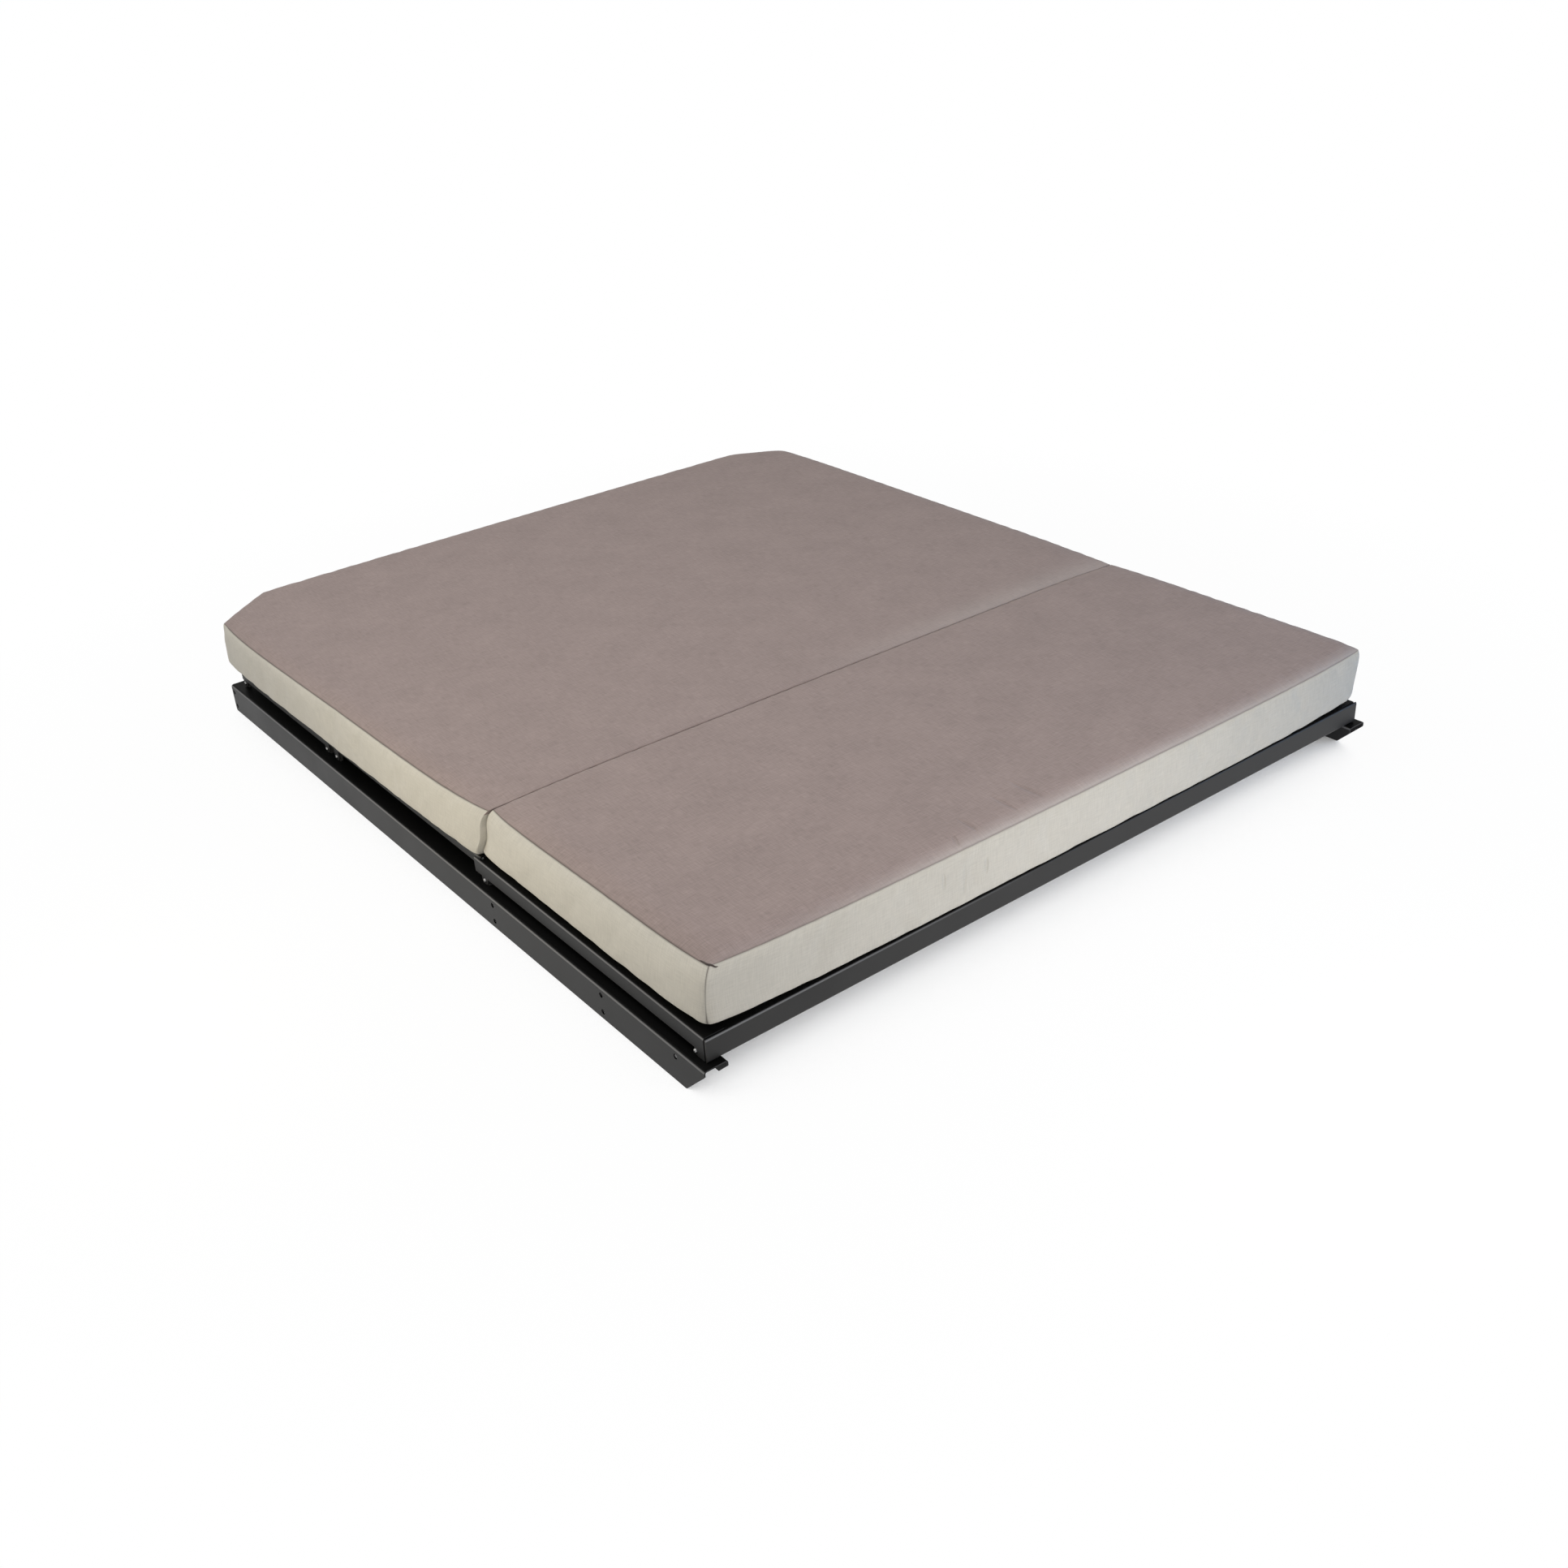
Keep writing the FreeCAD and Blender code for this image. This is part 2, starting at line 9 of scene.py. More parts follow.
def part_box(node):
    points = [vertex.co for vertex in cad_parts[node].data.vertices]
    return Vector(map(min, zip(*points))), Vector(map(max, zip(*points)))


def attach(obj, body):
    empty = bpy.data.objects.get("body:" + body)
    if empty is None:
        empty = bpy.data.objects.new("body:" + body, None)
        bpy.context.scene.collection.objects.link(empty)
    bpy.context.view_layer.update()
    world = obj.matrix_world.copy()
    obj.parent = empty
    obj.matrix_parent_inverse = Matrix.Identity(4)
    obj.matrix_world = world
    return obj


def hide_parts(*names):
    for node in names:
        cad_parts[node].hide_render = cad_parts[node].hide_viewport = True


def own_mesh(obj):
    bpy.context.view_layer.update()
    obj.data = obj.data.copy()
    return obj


# Sofa bed mechanism: bent black sheet frames on two rails, under two mattresses in a woven cover.
# Metres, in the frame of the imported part: +X to the right, +Y to the back, +Z up.

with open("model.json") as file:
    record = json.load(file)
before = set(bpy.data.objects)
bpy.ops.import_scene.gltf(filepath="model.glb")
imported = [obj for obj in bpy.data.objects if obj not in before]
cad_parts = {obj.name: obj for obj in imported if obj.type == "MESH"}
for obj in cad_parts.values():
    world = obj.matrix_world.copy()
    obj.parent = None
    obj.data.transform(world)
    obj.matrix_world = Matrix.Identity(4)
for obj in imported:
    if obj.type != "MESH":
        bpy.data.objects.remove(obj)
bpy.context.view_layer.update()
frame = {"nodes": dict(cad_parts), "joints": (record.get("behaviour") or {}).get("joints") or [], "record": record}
NODES = frame["nodes"]
HINGE = Vector(frame["joints"][0]["pos_m"])

# Camera, at the photograph's viewing angle
CAMERA_PLACE = Vector((-2.0257, -2.8600, 1.7799))
CAMERA_YAW = math.radians(36.542)
CAMERA_PITCH = math.radians(29.239)
CAMERA_ROLL = math.radians(-3.495)
CAMERA_LENS = 37.525
CAMERA_SENSOR = 36.0

# Mattress covers: plan at the top seam, with the sides in order anticlockwise from the front left corner
TOP_SEAM = 0.2325
CROWN = 0.0085
SEAM_STRIP = 0.0014
SEAM_DEPTH = 0.0020
# Share of the painted seam shade along the front seam
FRONT_SEAM = 0.6
FRONT_CELL = 0.0150
REAR_CELL = 0.0165
BORDER_ROWS = 11
JOINT_GAP = 0.0004
# Where the two mattresses meet: height and place along Y
JOINT_LINE = [
    (0.1200, -0.2975),
    (0.1300, -0.3000),
    (0.1800, -0.3235),
    (0.2030, -0.3180),
    (0.2180, -0.3190),
    (TOP_SEAM, -0.3290),
]
# Border from the top seam down: height, share of the way to the plan at mid height, tuck, roll at the joint
LEVELS = [
    (TOP_SEAM, 0.00, 0.0000, 0.0004),
    (0.2240, 0.35, 0.0000, 0.0003),
    (0.2050, 0.72, 0.0000, 0.0000),
    (0.1780, 0.95, 0.0000, 0.0000),
    (0.1520, 1.00, 0.0000, 0.0000),
    (0.1340, 0.99, 0.0010, 0.0004),
    (0.1245, 0.94, 0.0055, 0.0030),
    (0.1200, 0.80, 0.0190, 0.0100),
]
FRONT_PLAN = [(-0.844, -1.030), (0.902, -1.040), (0.900, 0.0), (-0.850, 0.0)]
FRONT_JOINT_SIDE = 2
# How far each side bulges at the seam and at mid height, the corners' radii above and below, and how far
# the top falls off towards each side
FRONT_BULGES = [0.019, 0.006, 0.0, 0.008]
FRONT_MID_BULGES = [0.017, 0.006, 0.0, 0.008]
FRONT_MID_PLAN = [(-0.876, -1.054), (0.893, -1.060), (0.896, 0.0), (-0.873, 0.0)]
FRONT_RADII = [(0.010, 0.034), (0.010, 0.060), (0.005, 0.016), (0.004, 0.008)]
FRONT_REACHES = [0.034, 0.036, 0.010, 0.048]
REAR_PLAN = [
    (-0.860, 0.0), (0.899, 0.0), (0.907, 0.990), (0.757, 1.080), (-0.730, 1.077), (-0.883, 0.955),
]
REAR_JOINT_SIDE = 0
REAR_BULGES = [0.0, 0.008, 0.0, 0.004, 0.0, 0.018]
REAR_MID_BULGES = [0.0, 0.008, 0.0, 0.004, 0.0, 0.010]
REAR_MID_PLAN = [
    (-0.886, 0.0), (0.897, 0.0), (0.909, 0.992), (0.760, 1.086), (-0.732, 1.083), (-0.898, 0.955),
]
REAR_RADII = [(0.010, 0.012), (0.005, 0.016)] + [(0.018, 0.075)] * 4
REAR_REACHES = [0.010, 0.048, 0.048, 0.048]
# Share of the crown that is left at the joint
JOINT_CROWN = 0.85
# Next to the joint the top's edges fall off over this much more, within this distance of it
JOINT_FLAT = 0.30
JOINT_FLAT_REACH = 0.09
# Powers of the curves: swell of a side, corner radii down the border, fall of the top to its edges
SIDE_SWELL_POWER = 5
ROUNDING_POWER = 1.5
EDGE_FALL_POWER = 2.4
# Length of the border from seam to underside, near enough to size its first narrow row
BORDER_LENGTH = 0.13
# Share of the seam's sinking that goes inwards, and downwards
SEAM_SLANT = 0.7

# Cloth simulation of the covers
SIM_FRAMES = 20
SEAM_HOLD = 0.85
CLOTH_SETTINGS = {
    "quality": 5,
    "mass": 0.35,
    "tension_stiffness": 18,
    "compression_stiffness": 18,
    "shear_stiffness": 6,
    "bending_stiffness": 0.6,
    "use_pressure": True,
    "uniform_pressure_force": 4.0,
    "vertex_group_mass": "pins",
    "shrink_min": -0.012,
}
# Most that a point may move in it: on the top, on the border and at the joint
SIM_CAP_TOP = 0.003
SIM_CAP_BORDER = 0.005
SIM_CAP_JOINT = 0.0003

# Painted highlight band on the top along the front seam, standing for light on the rolled edge: its reach, where
# it grows along X, and its share there
EDGE_HIGHLIGHT_REACH = 0.016
EDGE_HIGHLIGHT_FROM = (-0.75, -0.25)
EDGE_HIGHLIGHT_SHARES = (0.15, 1.0)
# Painted highlight band on the rear cover along the joint, standing for light on its rolled edge: its reach, where
# it begins along X, and its share
JOINT_HIGHLIGHT_REACH = 0.050
JOINT_HIGHLIGHT_FROM = (-0.10, 0.45)
JOINT_HIGHLIGHT = 0.50
# Creases: depth of their fine line in relief, of the dip in the mesh, and how much wider the dip is
CREASE_DEPTH = 0.0014
CREASE_DIP = 0.0016
CREASE_SPREAD = 1.7
# Their painted shade, and start, end and half width, on the top in plan and on the border round and down
TOP_CREASE_SHADE = 0.11
BORDER_CREASE_SHADE = 0.04
TOP_CREASES = [
    ((-0.074, -0.930), (-0.069, -1.042), 0.0065),
    ((-0.139, -0.950), (-0.138, -1.043), 0.0065),
    ((-0.241, -0.970), (-0.241, -1.041), 0.0060),
    ((-0.286, -1.012), (-0.300, -1.046), 0.0055),
]
BORDER_CREASES = [
    ((0.554, -0.026), (0.556, -0.090), 0.0065),
    ((0.607, -0.032), (0.607, -0.070), 0.0055),
    ((0.501, -0.022), (0.504, -0.062), 0.0055),
]

# Fold at the front left corner: way behind, along, up, out and ahead of the corner, and half width
CORNER_FOLD = [
    (0.022, 0.000, 0.0006, 0.0000, 0.0000, 0.0005),
    (0.014, 0.000, 0.0014, 0.0006, 0.0000, 0.0012),
    (0.005, 0.000, 0.0018, 0.0016, 0.0000, 0.0016),
    (0.000, 0.003, 0.0008, 0.0000, 0.0024, 0.0016),
    (0.000, 0.007, -0.0024, 0.0000, 0.0058, 0.0014),
    (0.000, 0.012, -0.0034, 0.0000, 0.0062, 0.0006),
]
FOLD_RINGS = 19
FOLD_SIDES = 8
# Points of the seam's ring over which the fold takes its directions
FOLD_LOOK = 4

# Bolts on the lugs of the frame sides: size, height, and way from the ends of the pieces that carry them
BOLT_RADIUS = 0.0045
BOLT_RISE = 0.0032
SOCKET_RADIUS = 0.0021
SOCKET_DEPTH = 0.0018
BOLT_HEIGHT = 0.0795
BOLT_STEPS = 24
SEAT_FRONT_BOLT = 0.025
SEAT_REAR_BOLT = 0.018
BACK_BOLT = 0.037
HEAD_FRONT_BOLT = 0.013
HEAD_REAR_BOLT = 0.010

# Dark strips behind the seams at the front beam's ends, standing in for the shade in the slots there
TAB_INSET = 0.0035
TAB_LENGTH = 0.0430
TAB_AHEAD = 0.0038
TAB_WIDTH = 0.0130
TAB_DROP = 0.0032
TAB_SHEET = 0.0030
BOX_FACES = ((0, 1, 3, 2), (4, 6, 7, 5), (0, 4, 5, 1), (2, 3, 7, 6), (0, 2, 6, 4), (1, 5, 7, 3))

# Steps of the drawn curves, and the rows of the border at the joint that are cut from the top's cloth
ARC_STEPS = 24
SIDE_STEPS = 120
CURVE_STEPS = 20
JOINT_TOP_ROWS = 2

# Floor: shaded where the part closes it in, nearly white beside it and plain white further off
FLOOR_REACH = 30.0
FLOOR_RAYS = 3
FLOOR_CLOSED_REACH = 1.2
FLOOR_OPEN = (0.07, 0.20)
FLOOR_NEAR_WHITE = 0.94
FLOOR_SHADOW_REACH = (1.0, 2.2)

# Soft lamps: place, aim, size, power and colour
LAMPS = [
    ("left", (-1.78, -0.22, 0.42), (-0.9, -0.22, 0.16), (0.6, 0.4), 2.45, (1.0, 0.89, 0.62)),
    ("front", (-0.02, -2.25, 0.52), (-0.02, -1.05, 0.16), (0.7, 0.4), 8.35, (0.985, 0.98, 1.0)),
    ("right", (2.3, -2.4, 0.7), (0.88, -1.0, 0.16), (0.8, 0.6), 9.0, (0.06, 0.40, 1.0)),
    ("overhead", (-1.4, 0.2, 4.0), (-0.4, 0, 0), (3.0, 3.0), 100, (1.0, 0.99, 0.98)),
]

# Colours, linear
# Top darker and border paler: partly the two fabrics' own colours, partly painted light, the border lit and the
# top shaded
TAUPE = (0.312, 0.247, 0.228)
CREAM = (0.560, 0.530, 0.462)
# Painted shade along the seams, at the corner fold and in the creases
SEAM_AND_CREASE_SHADE = (0.060, 0.048, 0.043)
# Painted highlight of the bands on the rolled edges
PAINTED_EDGE_LIGHT = (0.62, 0.58, 0.54)
BLACK = (0.0275, 0.0275, 0.0280)
BLACK_LIGHT = (0.0340, 0.0340, 0.0345)
BEAM_BLACK = (0.0265, 0.0258, 0.0248)
BEAM_BLACK_LIGHT = (0.0325, 0.0317, 0.0305)
# Painted shade on faces that look up
TOP_PAINTED_SHADE = (0.004, 0.004, 0.004)
# Painted highlight on the bends
BEND_PAINTED_HIGHLIGHT = (0.170, 0.170, 0.172)
TAUPE_CONTRAST = 0.20
CREAM_CONTRAST = 0.10
NYLON = [(0.028, 0.028, 0.029), (0.045, 0.045, 0.046)]
STEEL = [(0.22, 0.22, 0.225), (0.32, 0.32, 0.32)]
FLOOR_COLOUR = (0.86, 0.86, 0.86, 1)
WORLD_COLOUR = (0.99, 0.99, 1.0, 1)
WORLD_STRENGTH = 0.36

# Fabric: waves per metre of slubs, mottling and weave, and how much each counts
SLUB_LENGTHWAYS = 34
SLUB_CROSSWAYS = 480
SLUB_DETAIL = 3
SLUB_RELIEF = 1.2
MOTTLE_SCALE = 9
MOTTLE_DETAIL = 5
MOTTLE_SHARE = 0.2
MOTTLE_RANGE = (0.34, 0.66)
WEAVE_SCALE = 210
WEAVE_WOBBLE = 0.6
# Most share of the painted seam shade and of the painted highlight bands
SEAM_SHADE_MOST = 0.92
HIGHLIGHT_BAND_MOST = 0.42
# Strength and depth of the fine relief: weave, powder coat and nylon
WEAVE_RELIEF = (0.25, 0.0006)
COAT_RELIEF = (0.12, 0.0003)
NYLON_RELIEF = (0.15, 0.0003)
# Along X, the painted highlight on the beams' bends is strongest up to the first place and faint from the second
BEAM_HIGHLIGHT_FROM = (-0.80, -0.10)
BEAM_HIGHLIGHT_SHARES = (1.0, 0.08)
# Specular level of the powder coat along the rails, on the beams and on faces that look up
GLOSS = 0.10
BEAM_GLOSS = 0.20
TOP_GLOSS = 0.03


def rounded_polygon(corners, radii, bulges):
    """Dense closed line round a plan outline, and the place in it of the middle of each corner."""
    count = len(corners)
    points = [np.array(c, float) for c in corners]
    headings = []
    for number in range(count):
        heading = points[(number + 1) % count] - points[number]
        headings.append(heading / np.linalg.norm(heading))
    halves = []
    for number in range(count):
        turn = np.clip(headings[number - 1] @ headings[number], -1, 1)
        halves.append(math.acos(turn) / 2)
    line = []
    marks = []
    for number in range(count):
        before, after = headings[number - 1], headings[number]
        reach = radii[number] * math.tan(halves[number])
        centre = points[number] - before * reach + np.array([-before[1], before[0]]) * radii[number]
        first = math.atan2(-before[0], before[1])
        marks.append(len(line) + ARC_STEPS // 2)
        for step in range(ARC_STEPS + 1):
            angle = first + 2 * halves[number] * step / ARC_STEPS
            line.append(centre + radii[number] * np.array([math.cos(angle), math.sin(angle)]))
        following = (number + 1) % count
        start = points[number] + after * reach
        end = points[following] - after * radii[following] * math.tan(halves[following])
        outward = np.array([after[1], -after[0]])
        for step in range(1, SIDE_STEPS):
            share = step / SIDE_STEPS
            swell = bulges[number] * (1 - abs(2 * share - 1) ** SIDE_SWELL_POWER)
            line.append(start + (end - start) * share + outward * swell)
    return np.array(line), marks


def offset_polygon(corners, offsets):
    """Corners of a plan outline with each side moved outwards by its own offset."""
    count = len(corners)
    points = [np.array(c, float) for c in corners]
    normals = []
    for number in range(count):
        heading = points[(number + 1) % count] - points[number]
        heading /= np.linalg.norm(heading)
        normals.append(np.array([heading[1], -heading[0]]))
    moved = []
    for number in range(count):
        sides = np.array([normals[number - 1], normals[number]])
        shift = np.linalg.solve(sides, [offsets[number - 1], offsets[number]])
        moved.append(points[number] + shift)
    return moved


def resample(line, start, end, shares):
    """Points of a closed line between two of its places, at shares of the length between them."""
    count = len(line)
    if end <= start:
        end += count
    path = line[np.arange(start, end + 1) % count]
    length = np.concatenate([[0], np.cumsum(np.linalg.norm(np.diff(path, axis=0), axis=1))])
    wanted = np.array(shares) * length[-1]
    return np.stack([np.interp(wanted, length, path[:, axis]) for axis in (0, 1)], axis=1)


def shares_along(length, cell):
    """Shares of a side's length: a narrow strip at each end and even cells between."""
    cells = max(4, round((length - 2 * SEAM_STRIP) / cell))
    inner = np.linspace(SEAM_STRIP / length, 1 - SEAM_STRIP / length, cells + 1)
    return np.concatenate([[0], inner, [1]])


def coons(front, right, rear, left, across, along):
    """Grid of points spanned between four sides, rows from front to rear."""
    u = across[None, :, None]
    v = along[:, None, None]
    ruled_v = (1 - v) * front[None] + v * rear[None]
    ruled_u = (1 - u) * left[:, None] + u * right[:, None]
    front_corners = (1 - u) * (1 - v) * front[0] + u * (1 - v) * front[-1]
    rear_corners = (1 - u) * v * rear[0] + u * v * rear[-1]
    return ruled_v + ruled_u - (front_corners + rear_corners)


def smooth_between(knots, shares):
    """Points at shares of the length of smooth curves through knots, for many curves at once."""
    padded = np.concatenate([2 * knots[:1] - knots[1:2], knots, 2 * knots[-1:] - knots[-2:-1]])
    curve = []
    for number in range(len(knots) - 1):
        a, b, c, d = padded[number : number + 4]
        for step in range(CURVE_STEPS):
            t = step / CURVE_STEPS
            cubic = (3 * b - a - 3 * c + d) * t**3
            square = (2 * a - 5 * b + 4 * c - d) * t**2
            curve.append(0.5 * (2 * b + (c - a) * t + square + cubic))
    curve.append(knots[-1])
    curve = np.array(curve)
    mean_step = np.linalg.norm(np.diff(curve, axis=0), axis=2).mean(axis=1)
    length = np.concatenate([[0], np.cumsum(mean_step)])
    shares = np.asarray(shares)
    place = np.interp(shares * length[-1], length, np.arange(len(curve)))
    below = np.minimum(place.astype(int), len(curve) - 2)
    part = (place - below)[:, None, None]
    return curve[below] * (1 - part) + curve[below + 1] * part, shares * length[-1]


class Cover:
    """Points and faces of one mattress cover: a grid on top, rings down the border and a grid below."""

    def __init__(self, plan, mid_plan, joint_side, bulges, mid_bulges, radii, reaches, cell):
        self.joint_side = joint_side
        self.grid_corners = (0, 1, 2, len(plan) - 1)
        self.across = None
        levels = [self.level(plan, mid_plan, bulges, mid_bulges, radii, row, cell) for row in LEVELS]
        outlines = []
        for front, right, rear, left in levels:
            outlines.append(np.concatenate([front[:-1], right[:-1], rear[:0:-1], left[:0:-1]]))
        outlines = np.array(outlines)
        heights = np.array([row[0] for row in LEVELS])[:, None, None]
        heights = np.broadcast_to(heights, (*outlines.shape[:2], 1))
        knots = np.concatenate([outlines, heights], axis=2)
        strip = SEAM_STRIP / BORDER_LENGTH
        shares = np.concatenate([[0, strip], np.linspace(0, 1, BORDER_ROWS + 1)[1:]])
        self.border, self.drop = smooth_between(knots, shares)
        self.columns = len(self.across)
        self.rows = len(self.along)
        self.ring = self.ring_order()
        ring_plan = self.border[0][:, :2]
        tangent = np.roll(ring_plan, -1, axis=0) - np.roll(ring_plan, 1, axis=0)
        tangent /= np.linalg.norm(tangent, axis=1)[:, None]
        self.normal = np.stack([tangent[:, 1], -tangent[:, 0], np.zeros(len(tangent))], axis=1)
        steps = np.linalg.norm(np.roll(ring_plan, -1, axis=0) - ring_plan, axis=1)
        self.round = np.concatenate([[0], np.cumsum(steps)])
        top_plan = coons(*levels[0], self.across, self.along)
        lower_plan = coons(*levels[-1], self.across, self.along)
        self.build(top_plan, lower_plan, reaches)

    def level(self, plan, mid_plan, bulges, mid_bulges, radii, row, cell):
        """Front, right, rear and left sides of the outline at one height of the border."""
        height, share, tuck, roll = row
        facing = 1 if self.joint_side else -1
        meeting = np.interp(height, *np.array(JOINT_LINE).T) - facing * (JOINT_GAP / 2 + roll)
        offsets = [-tuck] * len(plan)
        offsets[self.joint_side] = 0.0
        based = np.array(plan) * (1 - share) + np.array(mid_plan) * share
        based[[self.joint_side, (self.joint_side + 1) % len(plan)], 1] = meeting
        down = ((TOP_SEAM - height) / (TOP_SEAM - LEVELS[-1][0])) ** ROUNDING_POWER
        rounding = [upper + (lower - upper) * down for upper, lower in radii]
        swell = np.array(bulges) * (1 - share) + np.array(mid_bulges) * share
        line, marks = rounded_polygon(offset_polygon(based, offsets), rounding, swell)
        a, b, c, d = [marks[number] for number in self.grid_corners]
        if self.across is None:
            corner = based[list(self.grid_corners)]
            self.width = np.linalg.norm(corner[1] - corner[0])
            self.depth = np.linalg.norm(corner[2] - corner[1])
            self.across = shares_along(self.width, cell)
            self.along = shares_along(self.depth, cell)
        front = resample(line, a, b, self.across)
        right = resample(line, b, c, self.along)
        rear = resample(line, c, d, 1 - self.across[::-1])[::-1]
        left = resample(line, d, a, 1 - self.along[::-1])[::-1]
        return front, right, rear, left

    def ring_order(self):
        """Places of the outer ring in the top grid, anticlockwise from the front left corner."""
        columns, rows = self.columns, self.rows
        front = list(range(columns - 1))
        right = [row * columns + columns - 1 for row in range(rows - 1)]
        rear = [(rows - 1) * columns + number for number in range(columns - 1, 0, -1)]
        left = [row * columns for row in range(rows - 1, 0, -1)]
        return np.array(front + right + rear + left)

    def side_of_ring(self):
        """Number of the side, front, right, rear or left, that each place of the ring lies on."""
        columns, rows = self.columns, self.rows
        counts = [columns - 1, rows - 1, columns - 1, rows - 1]
        return np.concatenate([np.full(count, side) for side, count in enumerate(counts)])

    def build(self, top_plan, lower_plan, reaches):
        """Points, faces and kinds of panel, with the top crowned towards its middle."""
        rise = np.full((self.rows, self.columns), CROWN)
        distances = [
            (self.along * self.depth)[:, None],
            ((1 - self.across) * self.width)[None, :],
            ((1 - self.along) * self.depth)[:, None],
            (self.across * self.width)[None, :],
        ]
        flatter = JOINT_FLAT * np.exp(-((distances[self.joint_side] / JOINT_FLAT_REACH) ** 2))
        for side, (distance, reach) in enumerate(zip(distances, reaches)):
            least = JOINT_CROWN if side == self.joint_side else 0.0
            span = reach if side == self.joint_side else reach + flatter
            rise = rise * (1 - (1 - least) * (1 - np.clip(distance / span, 0, 1)) ** EDGE_FALL_POWER)
        top = np.concatenate([top_plan, (TOP_SEAM + rise)[:, :, None]], axis=2).reshape(-1, 3)
        lower_height = np.full((self.rows, self.columns, 1), LEVELS[-1][0])
        lower = np.concatenate([lower_plan, lower_height], axis=2).reshape(-1, 3)
        ring_count = len(self.ring)
        inner = self.border[1:-1]
        starts = len(top) + ring_count * np.arange(len(inner))
        self.lower_start = len(top) + inner.shape[0] * ring_count
        self.points = np.concatenate([top, inner.reshape(-1, 3), lower])
        self.rings = [self.ring] + [np.arange(start, start + ring_count) for start in starts]
        self.rings.append(self.ring + self.lower_start)
        self.faces = []
        self.kind = []
        for row in range(self.rows - 1):
            for column in range(self.columns - 1):
                first = row * self.columns + column
                quad = (first, first + 1, first + self.columns + 1, first + self.columns)
                self.add(quad, "top")
                self.add(tuple(self.lower_start + number for number in reversed(quad)), "underside")
        sides = self.side_of_ring()
        for level, (upper, below) in enumerate(zip(self.rings, self.rings[1:])):
            for number in range(ring_count):
                after = (number + 1) % ring_count
                at_joint = sides[number] == self.joint_side and level < JOINT_TOP_ROWS
                face = (below[number], below[after], upper[after], upper[number])
                self.add(face, "joint" if at_joint else "border")

    def add(self, face, kind):
        """One face, and the kind of panel that it belongs to."""
        self.faces.append(face)
        self.kind.append(kind)

    def corner_columns(self):
        """Places in the ring of the four grid corners."""
        columns, rows = self.columns, self.rows
        return [0, columns - 1, columns + rows - 2, 2 * columns + rows - 3]


def cloth_object(name, cover):
    """Mesh object of a cover, with the number of each panel's material by face."""
    mesh = bpy.data.meshes.new(name)
    mesh.from_pydata(cover.points.tolist(), [], cover.faces)
    mesh.polygons.foreach_set("material_index", [int(kind in ("border", "underside")) for kind in cover.kind])
    mesh.polygons.foreach_set("use_smooth", [True] * len(cover.faces))
    mesh.update()
    obj = bpy.data.objects.new(name, mesh)
    bpy.context.scene.collection.objects.link(obj)
    return obj


def fabric_coordinates(obj, cover):
    """Fabric coordinates in metres: plan on the flat panels, round and down on the border."""
    mesh = obj.data
    uv = mesh.uv_layers.new(name="cloth")
    places = cover.points[:, :2]
    level = {}
    for row, ring in enumerate(cover.rings):
        for number, vertex in enumerate(ring):
            level[int(vertex)] = (row, number)
    ring_count = len(cover.ring)
    values = []
    for polygon, kind in zip(mesh.polygons, cover.kind):
        corners = list(polygon.vertices)
        if kind in ("top", "underside"):
            values += [tuple(places[vertex]) for vertex in corners]
            continue
        spots = [level[vertex] for vertex in corners]
        wraps = {number for row, number in spots} == {0, ring_count - 1}
        for row, number in spots:
            lap = ring_count if wraps and number == 0 else number
            values.append((cover.round[lap], -cover.drop[row]))
    uv.data.foreach_set("uv", np.array(values, np.float32).ravel())


def simulate(obj, cover):
    """Let the cover settle under pressure with its seams held; keep its folds, not its mean swell."""
    pins = obj.vertex_groups.new(name="pins")
    held = list(range(cover.lower_start, len(cover.points)))
    pins.add(held, 1.0, "REPLACE")
    pins.add([int(v) for v in cover.rings[0]], SEAM_HOLD, "REPLACE")
    modifier = obj.modifiers.new("Cloth", "CLOTH")
    settings = modifier.settings
    for name, value in CLOTH_SETTINGS.items():
        setattr(settings, name, value)
    settings.effector_weights.gravity = 0
    modifier.point_cache.frame_start = 1
    modifier.point_cache.frame_end = SIM_FRAMES
    scene = bpy.context.scene
    for number in range(1, SIM_FRAMES + 1):
        scene.frame_set(number)
    swollen = obj.evaluated_get(bpy.context.evaluated_depsgraph_get()).data
    moved = np.zeros(len(cover.points) * 3)
    swollen.vertices.foreach_get("co", moved)
    shift = moved.reshape(-1, 3) - cover.points
    sides = cover.side_of_ring()
    for ring in cover.rings[1:-1]:
        for side in range(4):
            places = np.flatnonzero(sides == side)
            outward = (shift[ring[places]] * cover.normal[places]).sum(axis=1).mean()
            shift[ring[places]] -= outward * cover.normal[places]
    obj.modifiers.remove(modifier)
    obj.vertex_groups.clear()
    scene.frame_set(1)
    cap = np.full(len(cover.points), SIM_CAP_BORDER)
    cap[: cover.columns * cover.rows] = SIM_CAP_TOP
    pressed = cover.side_of_ring() == cover.joint_side
    for ring in cover.rings:
        cap[ring[pressed]] = SIM_CAP_JOINT
    size = np.linalg.norm(shift, axis=1)
    factor = cap * np.tanh(size / cap) / np.maximum(size, 1e-9)
    return shift * factor[:, None]


def seam_columns(cover):
    """Places in the ring where the top seam runs: all sides but the one at the joint."""
    return cover.side_of_ring() != cover.joint_side


